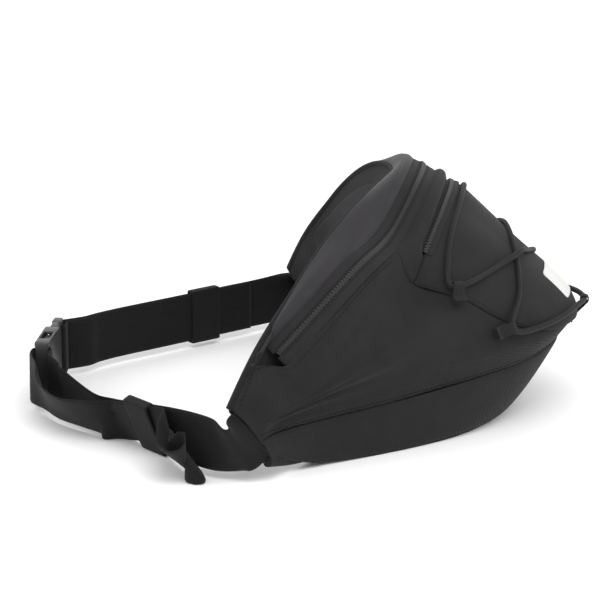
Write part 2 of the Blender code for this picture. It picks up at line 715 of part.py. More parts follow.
# ================================================================ buckle
buckle_y = back_y + belt_reach
webbing_low = (buckle_height - webbing_width) / 2
mouth_x = 5 * MM                 # the receiving half's open end
female_end_x = mouth_x - female_length
bar_width = 3.2 * MM
slot_width = 5.0 * MM
slot_margin = 1.0 * MM
male_thickness = 7 * MM
male_start_x = mouth_x + 1 * MM
male_end_x = male_start_x + male_frame_length
guide_length = 22 * MM
guide_height = 8 * MM
window_length = 13 * MM
cavity_depth = prong_length + 4 * MM


def block(name, low, high, bevel=0.0, hidden=False):
    """Plastic box between two corners, with bevelled edges if asked, ready to cut or be cut."""
    low, high = vec(*low), vec(*high)
    verts = [(x, y, z) for x in (low[0], high[0]) for y in (low[1], high[1]) for z in (low[2], high[2])]
    faces = [(0, 1, 3, 2), (4, 6, 7, 5), (0, 4, 5, 1), (2, 3, 7, 6), (0, 2, 6, 4), (1, 5, 7, 3)]
    ob = face_outwards(add_object(name, verts, faces, PLASTIC, (low + high) / 2))
    if bevel:
        mod = ob.modifiers.new("Bevel", "BEVEL")
        mod.width = bevel
        mod.segments = 2
    if hidden:
        ob.hide_render = True
        ob.display_type = "WIRE"
    return ob


def carve(ob, other, operation="DIFFERENCE"):
    mod = ob.modifiers.new(operation.title(), "BOOLEAN")
    mod.operation = operation
    mod.object = other


half_t = buckle_thickness / 2
cavity_y = half_t - buckle_wall
past = 5 * MM                    # how far a cutter runs past the wall it cuts
female = block("buckle_female", (female_end_x, buckle_y - half_t, 0),
               (mouth_x, buckle_y + half_t, buckle_height), bevel=1.6 * MM)
carve(female, block("cut_cavity", (mouth_x - cavity_depth, buckle_y - cavity_y, buckle_wall),
                    (mouth_x + past, buckle_y + cavity_y, buckle_height - buckle_wall), hidden=True))
window_x = mouth_x - cavity_depth + 2 * MM
window_y = cavity_y - 0.6 * MM
carve(female, block("cut_windows", (window_x, buckle_y - window_y, -past),
                    (window_x + window_length, buckle_y + window_y, buckle_height + past), hidden=True))
slot_low, slot_high = webbing_low - slot_margin, buckle_height - webbing_low + slot_margin
female_slot_x = female_end_x + bar_width
carve(female, block("cut_female_slot", (female_slot_x, buckle_y - half_t - past, slot_low),
                    (female_slot_x + slot_width, buckle_y + half_t + past, slot_high), hidden=True))

male = block("buckle_male", (male_start_x, buckle_y - male_thickness / 2, 0),
             (male_end_x, buckle_y + male_thickness / 2, buckle_height), bevel=1.4 * MM)
male_slot_x = male_end_x - bar_width - slot_width
carve(male, block("cut_male_slot", (male_slot_x, buckle_y - half_t - past, slot_low),
                  (male_slot_x + slot_width, buckle_y + half_t + past, slot_high), hidden=True))
guide_low, guide_high = (buckle_height - guide_height) / 2, (buckle_height + guide_height) / 2
carve(male, block("join_guide", (male_start_x - guide_length, buckle_y - 1.5 * MM, guide_low),
                  (male_start_x + 3 * MM, buckle_y + 1.5 * MM, guide_high), hidden=True), "UNION")

prong_gap = 0.8 * MM
prong_half = cavity_y - buckle_clearance
prong_root_x = male_start_x - prong_gap
middle = buckle_height / 2
rim = middle - buckle_wall - buckle_clearance      # half height that clears the cavity
stem = rim - 3.5 * MM                              # outer edge of a prong at its root
reach = prong_length
outline = [(0, stem - prong_thickness), (0, stem), (-0.35 * reach, stem + 0.5 * MM),
           (-0.5 * reach, rim), (-0.85 * reach, rim - 0.6 * MM), (-reach, rim - 4.0 * MM),
           (-0.97 * reach, rim - 5.6 * MM), (-0.5 * reach, stem - prong_thickness)]
for label, sign in (("low", -1), ("high", 1)):
    rings = np.array([[(prong_root_x + px, buckle_y + side, middle + sign * pz) for px, pz in outline]
                      for side in (-prong_half, prong_half)])
    root = (prong_root_x, buckle_y, middle + sign * (stem - prong_thickness / 2))
    tube_of_rings("prong_" + label, rings, PLASTIC, root)

# ================================================================ webbing
layer = webbing_thickness + 0.6 * MM     # from one layer's middle to the next
web_profile = rounded_box(webbing_thickness / 2, webbing_width / 2, 0.5 * MM, 1)


def ribbon(name, centres, ups):
    """Webbing along a curve: centres are its middle line, ups the direction of its upper edge."""
    path = catmull(centres, 3)
    up = unit(catmull(ups, 3))
    tangent = unit(np.gradient(path, axis=0))
    up = unit(up - (up * tangent).sum(-1, keepdims=True) * tangent)
    side = np.cross(up, tangent)
    rings = path[:, None] + web_profile[:, :1] * side[:, None] + web_profile[:, 1:] * up[:, None]
    tube_of_rings(name, rings, WEBBING)


belt_z = webbing_low + webbing_width / 2
run_start = vec(172, 54) * MM            # the straight run of each strap, in plan
run_end = vec(80, 147) * MM
run_way = unit(run_end - run_start)
run_length = hypot(*(run_end - run_start))
run_out = vec(-run_way[1], run_way[0]) * -1   # away from the inside of the belt


def on_run(distance, offset=0.0):
    """Point beside the right strap's straight run, measured from its end near the bag."""
    return vec(*(run_start + run_way * distance + run_out * offset), belt_z)


def left_run(distance, offset=0.0):
    """The same point on the left strap."""
    return on_run(distance, offset) * vec(-1, 1, 1)


def at_belt(x, y):
    """Point at the belt's middle height, from its plan position in millimetres."""
    return vec(x * MM, y * MM, belt_z)


def end_of_wing(back_off):
    """Point in the wing's end seam, between the front and back panels, and the seam's direction."""
    x = half - back_off
    lift = back_gap + wing_gap - webbing_thickness / 2 - 1.1 * MM
    p = surface(x, 0.5) + outward(x, 0.5) * lift
    up = surface(x, 0.9) - surface(x, 0.1)
    return p, unit(up)


def buckle_turn(bar_x, thickness, way):
    """Webbing round a buckle bar: way is +1 where the strap leaves towards +X."""
    points = []
    for angle in np.radians(np.linspace(-90, 90, 5)):
        across = (thickness / 2 + turn_gap) * np.sign(angle) * abs(sin(angle)) ** 0.6
        along = bar_turn * max(cos(angle), 0) ** 0.5
        points.append(vec(bar_x - way * along, buckle_y + across, belt_z))
    return points


upright = vec(0, 0, 1)
mirrored = vec(-1, 1, 1)
sewn, sewn_up = end_of_wing(4 * MM)
seam, seam_up = end_of_wing(0)
near_bag = [sewn, seam, seam + vec(8.9, 6.2, -6.0) * MM, vec(186.0, 37.9, 25.1) * MM, on_run(0)]
near_bag_ups = [sewn_up + vec(-0.1, 0, 0), seam_up + vec(-0.1, 0, 0), vec(0.4, 0.45, 0.93),
                vec(0.06, 0.1, 1), upright]
bar_turn = bar_width / 2 + webbing_thickness / 2 + 0.7 * MM
turn_gap = 1.4 * MM              # webbing's middle to the buckle's face where it turns
leave_gap = 1.0 * MM             # the same where it leaves the buckle
male_bar_x = male_end_x - bar_width / 2
female_bar_x = female_end_x + bar_width / 2
approach = 8 * MM
joint_gap = vec(1.2 * MM, 0, 0)

fold_x, fold_off = male_end_x + approach, male_thickness / 2 + leave_gap
fold_low = vec(fold_x, buckle_y - fold_off, belt_z)
fold_high = vec(fold_x, buckle_y + fold_off, belt_z)
fold = [fold_low] + buckle_turn(male_bar_x, male_thickness, 1) + [fold_high]
ribbon("male_fold", fold, [upright] * len(fold))

right = near_bag + [on_run(run_length * t) for t in (0.2, 0.4, 0.6, 0.8, 1.0)]
right += [at_belt(64, 161.5), at_belt(52, 171), fold_high + joint_gap]
ribbon("right_strap", right, near_bag_ups + [upright] * 8)
tail = [fold_low + joint_gap, at_belt(50, 166.5), at_belt(62, 159.5)]
tail += [on_run(run_length * t, -layer) for t in (1.0, 0.75, 0.5, 0.25, 0.05)]
ribbon("right_tail", tail, [upright] * len(tail))

# The left strap is the right one mirrored; its tail is looser, turns out and folds back.
loose_x, loose_off = female_end_x - approach, buckle_thickness / 2 + leave_gap
loose_low = vec(loose_x, buckle_y - loose_off, belt_z)
loose_high = vec(loose_x, buckle_y + loose_off, belt_z)
left = [p * mirrored for p in near_bag] + [left_run(run_length * t) for t in (0.2, 0.4, 0.6, 0.8)]
left += [at_belt(-66, 160), at_belt(-57, 169), loose_low - joint_gap]
ribbon("left_strap", left, [u * mirrored for u in near_bag_ups] + [upright] * 7)
tail = [loose_low] + buckle_turn(female_bar_x, buckle_thickness, -1) + [loose_high]
tail += [at_belt(-62, 182), at_belt(-86, 170), at_belt(-104, 152), at_belt(-116, 131)]
tail += [left_run(d * MM, layer * more) for d, more in
         ((84, 1.9), (76, 1.15), (66, 1.05), (56, 1.05), (46, 1.05), (36, 1.05), (29, 1.12), (24, 1.5))]
tail += [at_belt(x, y) for x, y in ((-167, 71.5), (-178, 70), (-191, 68), (-199, 64),
                                    (-199, 58.5), (-190, 59), (-177, 62))]
ribbon("left_tail", tail, [upright] * len(tail))

# ================================================================ keepers
keeper_place = 52 * MM           # along the straight run
keeper_wall = 1.6 * MM
hole_half_u = layer / 2 + webbing_thickness / 2 + keeper_clearance
hole_half_v = webbing_width / 2 + keeper_clearance
hole = rounded_box(hole_half_u, hole_half_v, 0.6 * MM, 2)
outer = rounded_box(hole_half_u + keeper_wall, hole_half_v + keeper_wall, 1.6 * MM, 2)
for label, turn, offset in (("right", vec(1, 1, 1), -layer / 2), ("left", mirrored, layer / 2)):
    centre = on_run(keeper_place, offset) * turn
    axis_u, way = vec(*run_out, 0) * turn, vec(*run_way, 0) * turn
    eyelet(label + "_keeper", outer, hole, centre, axis_u, way, keeper_length / 2, WEBBING, centre)

# ================================================================ stand the whole on its footprint
lows, highs = [], []
for ob in carrier.children:
    if ob.type == "MESH" and not ob.hide_render:
        points = np.array([v.co for v in ob.data.vertices]) + np.array(ob.location)
        lows.append(points.min(0))
        highs.append(points.max(0))
low, high = np.min(lows, 0), np.max(highs, 0)
carrier.location = (-(low[0] + high[0]) / 2, -(low[1] + high[1]) / 2, -low[2])
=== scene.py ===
# %% [markdown]
# # A waist pack, piece by piece
# A waist pack is a small bag sewn from many panels of cloth, with arched zips, a belt of webbing
# and a side-release buckle. This lesson builds it over a jointed frame that already holds every
# part at its true place and size. Each soft piece is worked out again here as a smooth surface,
# fine enough to carry seams, folds and stitches, and then told which part of the frame it rides on.
# All sizes are metres; the pocket faces -Y, the belt lies towards +Y and the length runs along X.

# %% The frame and the box it fills
import json
from math import atan2, cos, pi, radians, sin

import bpy
import numpy as np
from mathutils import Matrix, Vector

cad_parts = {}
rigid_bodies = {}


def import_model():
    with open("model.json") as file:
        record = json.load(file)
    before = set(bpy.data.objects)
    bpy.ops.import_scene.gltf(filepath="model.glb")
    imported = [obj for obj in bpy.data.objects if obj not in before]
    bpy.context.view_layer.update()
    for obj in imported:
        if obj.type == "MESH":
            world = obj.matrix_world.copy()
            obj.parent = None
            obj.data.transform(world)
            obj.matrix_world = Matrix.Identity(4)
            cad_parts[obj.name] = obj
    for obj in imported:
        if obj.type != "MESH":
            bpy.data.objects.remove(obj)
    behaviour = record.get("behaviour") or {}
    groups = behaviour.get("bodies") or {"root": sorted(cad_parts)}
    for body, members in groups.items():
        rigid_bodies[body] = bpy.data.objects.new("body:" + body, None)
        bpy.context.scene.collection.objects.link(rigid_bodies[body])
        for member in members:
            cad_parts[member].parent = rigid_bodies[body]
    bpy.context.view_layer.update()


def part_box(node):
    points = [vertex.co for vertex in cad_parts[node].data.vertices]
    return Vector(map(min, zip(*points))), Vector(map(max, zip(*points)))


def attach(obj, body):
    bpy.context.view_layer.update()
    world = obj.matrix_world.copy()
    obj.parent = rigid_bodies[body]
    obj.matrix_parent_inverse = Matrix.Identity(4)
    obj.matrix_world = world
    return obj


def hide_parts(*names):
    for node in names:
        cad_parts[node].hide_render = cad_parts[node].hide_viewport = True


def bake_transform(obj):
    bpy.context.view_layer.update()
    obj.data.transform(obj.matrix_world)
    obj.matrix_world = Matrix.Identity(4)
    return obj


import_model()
MM = 0.001

# %% [markdown]
# ## Points and directions
# Nearly everything below is a grid of points held in one numpy array, so a few helpers for
# vectors go a long way. `unit` makes directions one long, `smooth` is the soft step that blends
# one rule into another, and `spline` carries a curve through points with no corners in it.

# %% Vectors, soft steps and curves
def vec(*values):
    return np.array(values, dtype=float)


def unit(v):
    """Each vector divided by its own length."""
    return v / np.maximum(np.linalg.norm(v, axis=-1, keepdims=True), 1e-12)


def smooth(t):
    """3t squared minus 2t cubed, held between 0 and 1: a step with soft corners."""
    t = np.clip(t, 0.0, 1.0)
    return t * t * (3.0 - 2.0 * t)


def bump(t):
    """The bell curve: e to the minus t squared."""
    return np.exp(-t * t)


def cubic(a, b, c, d, t):
    """From b at t = 0 to c at t = 1; each end slope is half the chord between the neighbours."""
    return 0.5 * (2 * b + (c - a) * t + (2 * a - 5 * b + 4 * c - d) * t ** 2
                  + (3 * b - a - 3 * c + d) * t ** 3)


def spline(points, per_span, closed=False):
    """Catmull-Rom curve through the points: one cubic on each span."""
    p = np.asarray(points, dtype=float)
    if closed:
        p = np.concatenate([p[-1:], p, p[:2]])
    else:
        p = np.concatenate([2 * p[:1] - p[1:2], p, 2 * p[-1:] - p[-2:-1]])
    a, b, c, d = (p[i:len(p) - 3 + i, None] for i in range(4))
    t = (np.arange(per_span) / per_span)[None, :, None]
    out = cubic(a, b, c, d, t).reshape(-1, p.shape[1])
    return out if closed else np.concatenate([out, p[-2:-1]])


# %% [markdown]
# ## From a grid of points to a mesh
# A grid with rows and columns becomes quads between neighbouring points. Writing the arrays with
# `foreach_set` is much faster than adding faces one by one. Cloth also needs two faces and an
# edge, so `sheet_of` wraps a second, inner grid round the back of the first and closes the rim.

# %% Mesh tools
def mesh_piece(name, verts, quads, uv=None, mat=None, body="pack", slot=None, extra=()):
    """Object with these corner points and four-cornered faces, its UVs given for each point."""
    verts, quads = np.asarray(verts, np.float32), np.asarray(quads, np.int32)
    mesh = bpy.data.meshes.new(name)
    sizes = np.concatenate([np.full(len(quads), 4), [len(e) for e in extra]]).astype(np.int32)
    loops = np.concatenate([quads.ravel()] + [np.asarray(e) for e in extra]).astype(np.int32)
    mesh.vertices.add(len(verts))
    mesh.vertices.foreach_set("co", verts.ravel())
    mesh.loops.add(len(loops))
    mesh.loops.foreach_set("vertex_index", loops)
    mesh.polygons.add(len(sizes))
    mesh.polygons.foreach_set("loop_start", np.concatenate([[0], np.cumsum(sizes)[:-1]]).astype(np.int32))
    mesh.polygons.foreach_set("loop_total", sizes)
    mesh.polygons.foreach_set("use_smooth", np.ones(len(sizes), bool))
    mesh.update(calc_edges=True)
    if uv is not None:
        layer = mesh.uv_layers.new(name="weave")
        layer.data.foreach_set("uv", np.asarray(uv, np.float32)[loops].ravel())
    ob = bpy.data.objects.new(name, mesh)
    bpy.context.collection.objects.link(ob)
    if mat is not None:
        mesh.materials.append(mat)
    if body:
        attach(ob, body)
    return ob


def grid_quads(rows, cols, close_rows=False, close_cols=False, first=0):
    """Quads between neighbouring points of a grid; a closed way joins its last line to its first."""
    r = np.arange(rows if close_rows else rows - 1)[:, None]
    c = np.arange(cols if close_cols else cols - 1)[None, :]
    r2, c2 = (r + 1) % rows, (c + 1) % cols
    quads = np.stack(np.broadcast_arrays(r * cols + c, r * cols + c2, r2 * cols + c2, r2 * cols + c), -1)
    return quads.reshape(-1, 4) + first


def lengths(grid):
    """Distance from the first column and from the first row to each point, along the grid's lines."""
    across = np.linalg.norm(np.diff(grid, axis=1), axis=-1)
    along = np.linalg.norm(np.diff(grid, axis=0), axis=-1)
    u = np.concatenate([np.zeros((len(grid), 1)), np.cumsum(across, 1)], 1)
    v = np.concatenate([np.zeros((1, grid.shape[1])), np.cumsum(along, 0)], 0)
    return u, v


def facing(grid):
    """Unit normal of a grid: the cross product of its two slopes."""
    return unit(np.cross(np.gradient(grid, axis=0), np.gradient(grid, axis=1)))


def sheet_of(name, outer, thickness, mat, normal=None, **kw):
    """Cloth: the outer grid, an inner one a thickness behind it, and a rim that joins the two."""
    normal = facing(outer) if normal is None else normal
    inner = outer - normal * thickness
    rows, cols = outer.shape[:2]
    ring = np.concatenate([outer, inner[::-1]])
    u, v = lengths(outer)
    u = u - u[:, cols // 2][:, None]
    uv = np.stack([u, v], -1)
    uv = np.concatenate([uv, uv[::-1]])
    quads = grid_quads(2 * rows, cols, close_rows=True)
    r = np.arange(rows - 1)[:, None]
    far = (2 * rows - 1 - r) * cols
    left = np.concatenate([r * cols, (r + 1) * cols, far - cols, far], 1)
    right = np.concatenate([r * cols, far, far - cols, (r + 1) * cols], 1) + cols - 1
    return mesh_piece(name, ring.reshape(-1, 3), np.concatenate([quads, left, right]),
                      uv.reshape(-1, 2), mat, **kw)


def outward_faces(ob):
    """Turns every face of a closed piece round if its volume, summed over its faces, is negative."""
    mesh = ob.data
    mesh.calc_loop_triangles()
    tri = np.zeros(len(mesh.loop_triangles) * 3, np.int32)
    mesh.loop_triangles.foreach_get("vertices", tri)
    co = np.zeros(len(mesh.vertices) * 3, np.float32)
    mesh.vertices.foreach_get("co", co)
    a, b, c = (co.reshape(-1, 3)[tri.reshape(-1, 3)[:, i]].astype(float) for i in range(3))
    if (a * np.cross(b, c)).sum() < 0:
        mesh.flip_normals()
    return ob


def frames_along(path, side, closed=False):
    """Tangent and two cross directions at each point of a path, the first of them nearest to side."""
    if closed:
        tangent = unit(np.roll(path, -1, 0) - np.roll(path, 1, 0))
    else:
        tangent = unit(np.gradient(path, axis=0))
    side = np.broadcast_to(side, path.shape)
    side = unit(side - (side * tangent).sum(-1, keepdims=True) * tangent)
    return tangent, side, np.cross(tangent, side)


def tube_of(name, path, profile, side, mat, closed=False, scale=None, **kw):
    """A closed profile carried along a path: point = path + a x side + b x (tangent x side)."""
    path = np.asarray(path, float)
    s, o = frames_along(path, side, closed)[1:]
    size = np.ones(len(path)) if scale is None else np.asarray(scale)
    a, b = profile[None, :, :1] * size[:, None, None], profile[None, :, 1:] * size[:, None, None]
    rings = path[:, None] + a * s[:, None] + b * o[:, None]
    count, n = rings.shape[:2]
    step = np.linalg.norm(np.roll(path, -1, 0) - path, axis=1)
    along = np.concatenate([[0], np.cumsum(step)[:-1]])
    around = np.arange(n) / n
    uv = np.stack(np.broadcast_arrays(around[None, :], along[:, None]), -1)
    quads = grid_quads(count, n, close_rows=closed, close_cols=True)
    caps = () if closed else (np.arange(n)[::-1], np.arange(n) + (count - 1) * n)
    ob = mesh_piece(name, rings.reshape(-1, 3), quads, uv.reshape(-1, 2), mat, extra=caps, **kw)
    return outward_faces(ob)


def round_profile(radius, count=12):
    """Points of a circle."""
    angle = np.arange(count) * 2 * pi / count
    return radius * np.stack([np.cos(angle), np.sin(angle)], 1)


def slab_profile(half_w, half_h, power=4.0, count=24):
    """Superellipse: points where (a / half_w) and (b / half_h), each to a power, add up to one."""
    angle = (np.arange(count) + 0.5) * 2 * pi / count
    c, s = np.cos(angle), np.sin(angle)
    return np.stack([half_w * np.sign(c) * np.abs(c) ** (2 / power),
                     half_h * np.sign(s) * np.abs(s) ** (2 / power)], 1)


print("mesh tools ready")

# %% [markdown]
# ## Camera, floor and light
# The pack is seen almost side on, from a little above, as if from far away with a long lens, so
# there is next to no perspective. Black cloth shows its folds only by the light that skims over
# it, so one large soft light stands high over the camera's right shoulder, a weaker one shines
# from the pocket side, a third from the belt side, and a bright room fills the rest.

# %% Camera
azimuth, elevation, distance = radians(-84.0), radians(15.5), 2.0
seen_width = 0.438
middle = Vector((0.0, 0.0086, 0.0758))
back_way = Vector((sin(azimuth) * cos(elevation), -cos(azimuth) * cos(elevation), sin(elevation)))
camera = bpy.data.objects.new("camera", bpy.data.cameras.new("camera"))
camera.data.lens = 36.0 * distance / seen_width
camera.data.sensor_width = 36.0
camera.data.clip_end = 60.0
camera.location = middle + back_way * distance
camera.rotation_euler = back_way.to_track_quat("Z", "Y").to_euler()
bpy.context.collection.objects.link(camera)
bpy.context.scene.camera = camera
print("camera at", [round(c, 3) for c in camera.location], "lens", round(camera.data.lens, 1))


# %% Floor and lights
def flat_material(name, colour, roughness):
    mat = bpy.data.materials.new(name)
    mat.use_nodes = True
    shader = mat.node_tree.nodes["Principled BSDF"]
    shader.inputs["Base Color"].default_value = (*colour, 1)
    shader.inputs["Roughness"].default_value = roughness
    return mat


floor_half, floor_z = 12.0, -0.0005
floor_points = [(a * floor_half, b * floor_half, floor_z) for a, b in ((-1, -1), (1, -1), (1, 1), (-1, 1))]
floor = mesh_piece("floor", floor_points, [(0, 1, 2, 3)],
                   mat=flat_material("studio_floor", (0.93, 0.93, 0.93), 0.9), body=None)


def area_light(name, place, size, power):
    """A square soft light at a place, turned to the middle of the pack."""
    light = bpy.data.objects.new(name, bpy.data.lights.new(name, "AREA"))
    light.data.size = size
    light.data.energy = power
    light.location = place
    light.rotation_euler = (light.location - middle).to_track_quat("Z", "Y").to_euler()
    bpy.context.collection.objects.link(light)
    return light


area_light("key_light", (-1.5, -0.5, 2.2), 1.6, 34)
area_light("pocket_light", (-0.4, -2.2, 1.3), 1.4, 16)
area_light("belt_light", (-0.9, 2.0, 1.4), 1.4, 12)
world = bpy.data.worlds.new("studio")
bpy.context.scene.world = world
world.use_nodes = True
world.node_tree.nodes["Background"].inputs["Color"].default_value = (1, 1, 1, 1)
world.node_tree.nodes["Background"].inputs["Strength"].default_value = 1.0
bpy.context.scene.view_settings.view_transform = "Standard"
print("floor and lights ready")

# %% [markdown]
# ## Writing materials as sums
# A material is arithmetic on patterns: a weave is two waves, a worn edge is a mask. Nodes say
# that one box at a time. A small class that wraps a node's output lets Python's own signs add the
# Math nodes, so the formula can be read in one line.

# %% Shader arithmetic
class Value:
    """A node output that can be added, multiplied and compared as if it were a number."""

    def __init__(self, tree, socket):
        self.tree, self.socket = tree, socket

    def math(self, operation, *others):
        return self.tree.node("ShaderNodeMath", {"operation": operation}, [self, *others])[0]

    def __add__(self, other): return self.math("ADD", other)
    def __sub__(self, other): return self.math("SUBTRACT", other)
    def __mul__(self, other): return self.math("MULTIPLY", other)
    def __truediv__(self, other): return self.math("DIVIDE", other)
    __radd__, __rmul__ = __add__, __mul__
    def __rsub__(self, other): return (self * -1.0).math("ADD", other)
    def __gt__(self, other): return self.math("GREATER_THAN", other)
    def sine(self): return self.math("SINE")
    def size(self): return self.math("ABSOLUTE")
    def power(self, p): return self.math("POWER", p)
    def most(self, other): return self.math("MAXIMUM", other)


class Finish:
    """A material being written: its nodes, its shader and the patterns that feed it."""

    def __init__(self, name, roughness=0.7, sheen=0.0, specular=0.5, metallic=0.0, coat=0.0):
        self.mat = bpy.data.materials.new(name)
        self.mat.use_nodes = True
        self.nodes, self.links = self.mat.node_tree.nodes, self.mat.node_tree.links
        self.shader = self.nodes["Principled BSDF"]
        for key, number in (("Roughness", roughness), ("Sheen Weight", sheen), ("Metallic", metallic),
                            ("Specular IOR Level", specular), ("Sheen Roughness", 0.45),
                            ("Coat Weight", coat)):
            self.shader.inputs[key].default_value = number

    def node(self, kind, settings=None, values=None):
        """Adds a node, sets its settings, then its sockets by position or by name; gives its outputs."""
        made = self.nodes.new(kind)
        for key, setting in (settings or {}).items():
            setattr(made, key, setting)
        pairs = values.items() if isinstance(values, dict) else enumerate(values or [])
        for key, value in pairs:
            if isinstance(value, Value):
                self.links.new(value.socket, made.inputs[key])
            else:
                made.inputs[key].default_value = value
        return [Value(self, out) for out in made.outputs]

    def place(self):
        """Object coordinates, in metres."""
        return self.node("ShaderNodeTexCoord")[3]

    def weave_uv(self):
        """The piece's own two lengths along its surface, in metres, as separate values."""
        uv = self.node("ShaderNodeUVMap", {"uv_map": "weave"})[0]
        return self.node("ShaderNodeSeparateXYZ", None, [uv])[:2]

    def noise(self, scale, detail=3.0, where=None):
        return self.node("ShaderNodeTexNoise", None, {"Vector": where or self.place(), "Scale": scale,
                                                      "Detail": detail})[0]

    def mix(self, share, first, second):
        """Colour between two colours."""
        return self.node("ShaderNodeMix", {"data_type": "RGBA"},
                         {0: share, 6: (*first, 1) if isinstance(first, tuple) else first,
                          7: (*second, 1) if isinstance(second, tuple) else second})[2]

    def feed(self, **sockets):
        for key, value in sockets.items():
            self.links.new(value.socket, self.shader.inputs[key.replace("_", " ").title()])

    def raise_by(self, height, depth, strength=1.0):
        """Lets a height pattern tilt the surface: depth is how far, in metres, a height of 1 stands up."""
        values = {"Height": height, "Distance": depth, "Strength": strength}
        bumped = self.node("ShaderNodeBump", None, values)[0]
        self.links.new(bumped.socket, self.shader.inputs["Normal"])


print("shader arithmetic ready")

# %% [markdown]
# ## The cloths
# The side and bottom panels are a coarse plain weave: fat threads pass over and under each other
# in a grid of about a millimetre. The pocket and the zip bands are a twill, whose threads step
# sideways in fine slanting lines. The top panel is a tight, lightly coated weave; its base colours
# are set lighter and violet, partly its own tone and partly painted light from above and a painted
# violet sheen. All three are near black, so the weave shows by bump and by a small change of
# tone between thread and gap; broad, faint clouds of dust and wear stop the panels looking flat.

# %% Cloth finishes
def clouds(f, dark, light, spread=9.0, fine=70.0):
    """Slow and quick variations of tone over a panel, as a share between two colours."""
    share = (f.noise(spread, 4.0) * 0.8 + f.noise(fine, 2.0) * 0.5 - 0.15).math("MAXIMUM", 0.0)
    return f.mix(share, dark, light)


def plain_weave(name, dark, light, pitch=1.3 * MM, roughness=0.85, sheen=0.05):
    """Threads over and under: the two ways' waves show by turns, square by square."""
    f = Finish(name, roughness, sheen, specular=0.16)
    u, v = f.weave_uv()
    a, b = u * (pi / pitch), v * (pi / pitch)
    over = ((a.sine() * b.sine()) > 0.0)
    height = over * a.sine().size() + (1.0 - over) * b.sine().size()
    lint = f.noise(900.0, 2.0)
    tone = clouds(f, dark, light)
    gap = (1.0 - height.power(0.5)) * 0.55 + (lint - 0.5) * 0.3
    f.feed(base_color=f.mix(gap.most(0.0), tone, tuple(c * 0.35 for c in dark)),
           roughness=(f.noise(30.0) - 0.5) * 0.2 + roughness)
    f.raise_by(height + lint * 0.5, 0.16 * MM, 0.8)
    return f.mat


def twill_weave(name, dark, light, pitch=1.5 * MM, slant=1.0, roughness=0.8, sheen=0.05, depth=0.2):
    """Slanting ridges: a wave along u + slant x v, broken into threads by a finer wave across it."""
    f = Finish(name, roughness, sheen, specular=0.16)
    u, v = f.weave_uv()
    ridge = ((u + v * slant) * (pi / pitch)).sine().size()
    thread = ((u - v * slant) * (pi / (pitch * 0.7))).sine().size()
    height = ridge * 0.75 + thread * 0.25
    lint = f.noise(1100.0, 2.0)
    tone = clouds(f, dark, light)
    gap = ((1.0 - height) * 0.6 + (lint - 0.5) * 0.25).most(0.0)
    f.feed(base_color=f.mix(gap, tone, tuple(c * 0.35 for c in dark)),
           roughness=(f.noise(30.0) - 0.5) * 0.2 + roughness)
    f.raise_by(height + lint * 0.4, depth * MM, 0.8)
    return f.mat


SIDE_CLOTH = plain_weave("side_cloth", (0.0105, 0.0100, 0.0100), (0.0210, 0.0200, 0.0200))
POCKET_CLOTH = twill_weave("pocket_cloth", (0.0110, 0.0107, 0.0107), (0.0215, 0.0210, 0.0210))
# The top cloth's colours are lighter and more violet than the other cloths': partly the coated cloth's own
# tone, partly painted light from above and a painted violet sheen.
TOP_CLOTH_PAINTED_LIGHT_AND_SHEEN = twill_weave("top_cloth", (0.0165, 0.0155, 0.0170), (0.0300, 0.0275, 0.0310), 0.7 * MM,
                        roughness=0.62, sheen=0.12, depth=0.06)
LINING = plain_weave("lining_cloth", (0.016, 0.016, 0.0165), (0.028, 0.028, 0.0285), 0.6 * MM)
BINDING = twill_weave("binding_tape", (0.008, 0.008, 0.008), (0.016, 0.0155, 0.016), 0.9 * MM, 0.0)
TAPE_CLOTH = twill_weave("zip_tape", (0.0115, 0.0110, 0.0115), (0.0215, 0.0205, 0.0215), 0.8 * MM,
                         roughness=0.75, depth=0.1)
print("cloths:", [m.name for m in (SIDE_CLOTH, POCKET_CLOTH, TOP_CLOTH_PAINTED_LIGHT_AND_SHEEN, LINING, BINDING, TAPE_CLOTH)])

# %% [markdown]
# ## Webbing, cord and hard parts
# Belt webbing is woven in ribs that run its length, each rib a chain of small slanting stitches.
# Grosgrain tabs have ribs across instead. The elastic cord wears a braided sheath: two sets of
# strands wind round it opposite ways. Buckle and pull tips are moulded plastic with a fine spark
# texture and a few scuffs, and the sliders are enamelled metal.

# %% Webbing, cord, plastic and metal finishes
def webbing_finish(name, dark, light, pitch=1.5 * MM, across=False, roughness=0.78):
    """Ribs: a rounded wave across the tape, with stitches stepping along each rib."""
    f = Finish(name, roughness, 0.04, specular=0.18)
    u, v = f.weave_uv()
    a, b = (v, u) if across else (u, v)
    rib = (a * (pi / pitch)).sine().size()
    stitch = ((b + a * 0.5) * (pi / (pitch * 0.55))).sine().size()
    height = rib.power(0.6) * 0.75 + stitch * 0.25
    lint = f.noise(1200.0, 2.0)
    tone = clouds(f, dark, light)
    gap = ((1.0 - height) * 0.7 + (lint - 0.5) * 0.3).most(0.0)
    f.feed(base_color=f.mix(gap, tone, tuple(c * 0.3 for c in dark)),
           roughness=(f.noise(40.0) - 0.5) * 0.2 + roughness)
    f.raise_by(height + lint * 0.4, 0.22 * MM, 0.9)
    return f.mat


def braided_finish(name, dark, light, strands=8, pitch=2.6 * MM, roughness=0.6):
    """Two helices, u x strands plus and minus v / pitch; whichever stands higher lies on top."""
    f = Finish(name, roughness, 0.04, specular=0.18)
    u, v = f.weave_uv()
    turn, run = u * (pi * strands), v * (pi / pitch * 2.0)
    one, two = (turn + run).sine().size(), (turn - run).sine().size()
    height = one.most(two)
    tone = clouds(f, dark, light, 14.0)
    f.feed(base_color=f.mix((1.0 - height) * 1.1, tone, tuple(c * 0.3 for c in dark)),
           roughness=(1.0 - height) * 0.3 + roughness)
    f.raise_by(height, 0.18 * MM, 0.9)
    return f.mat


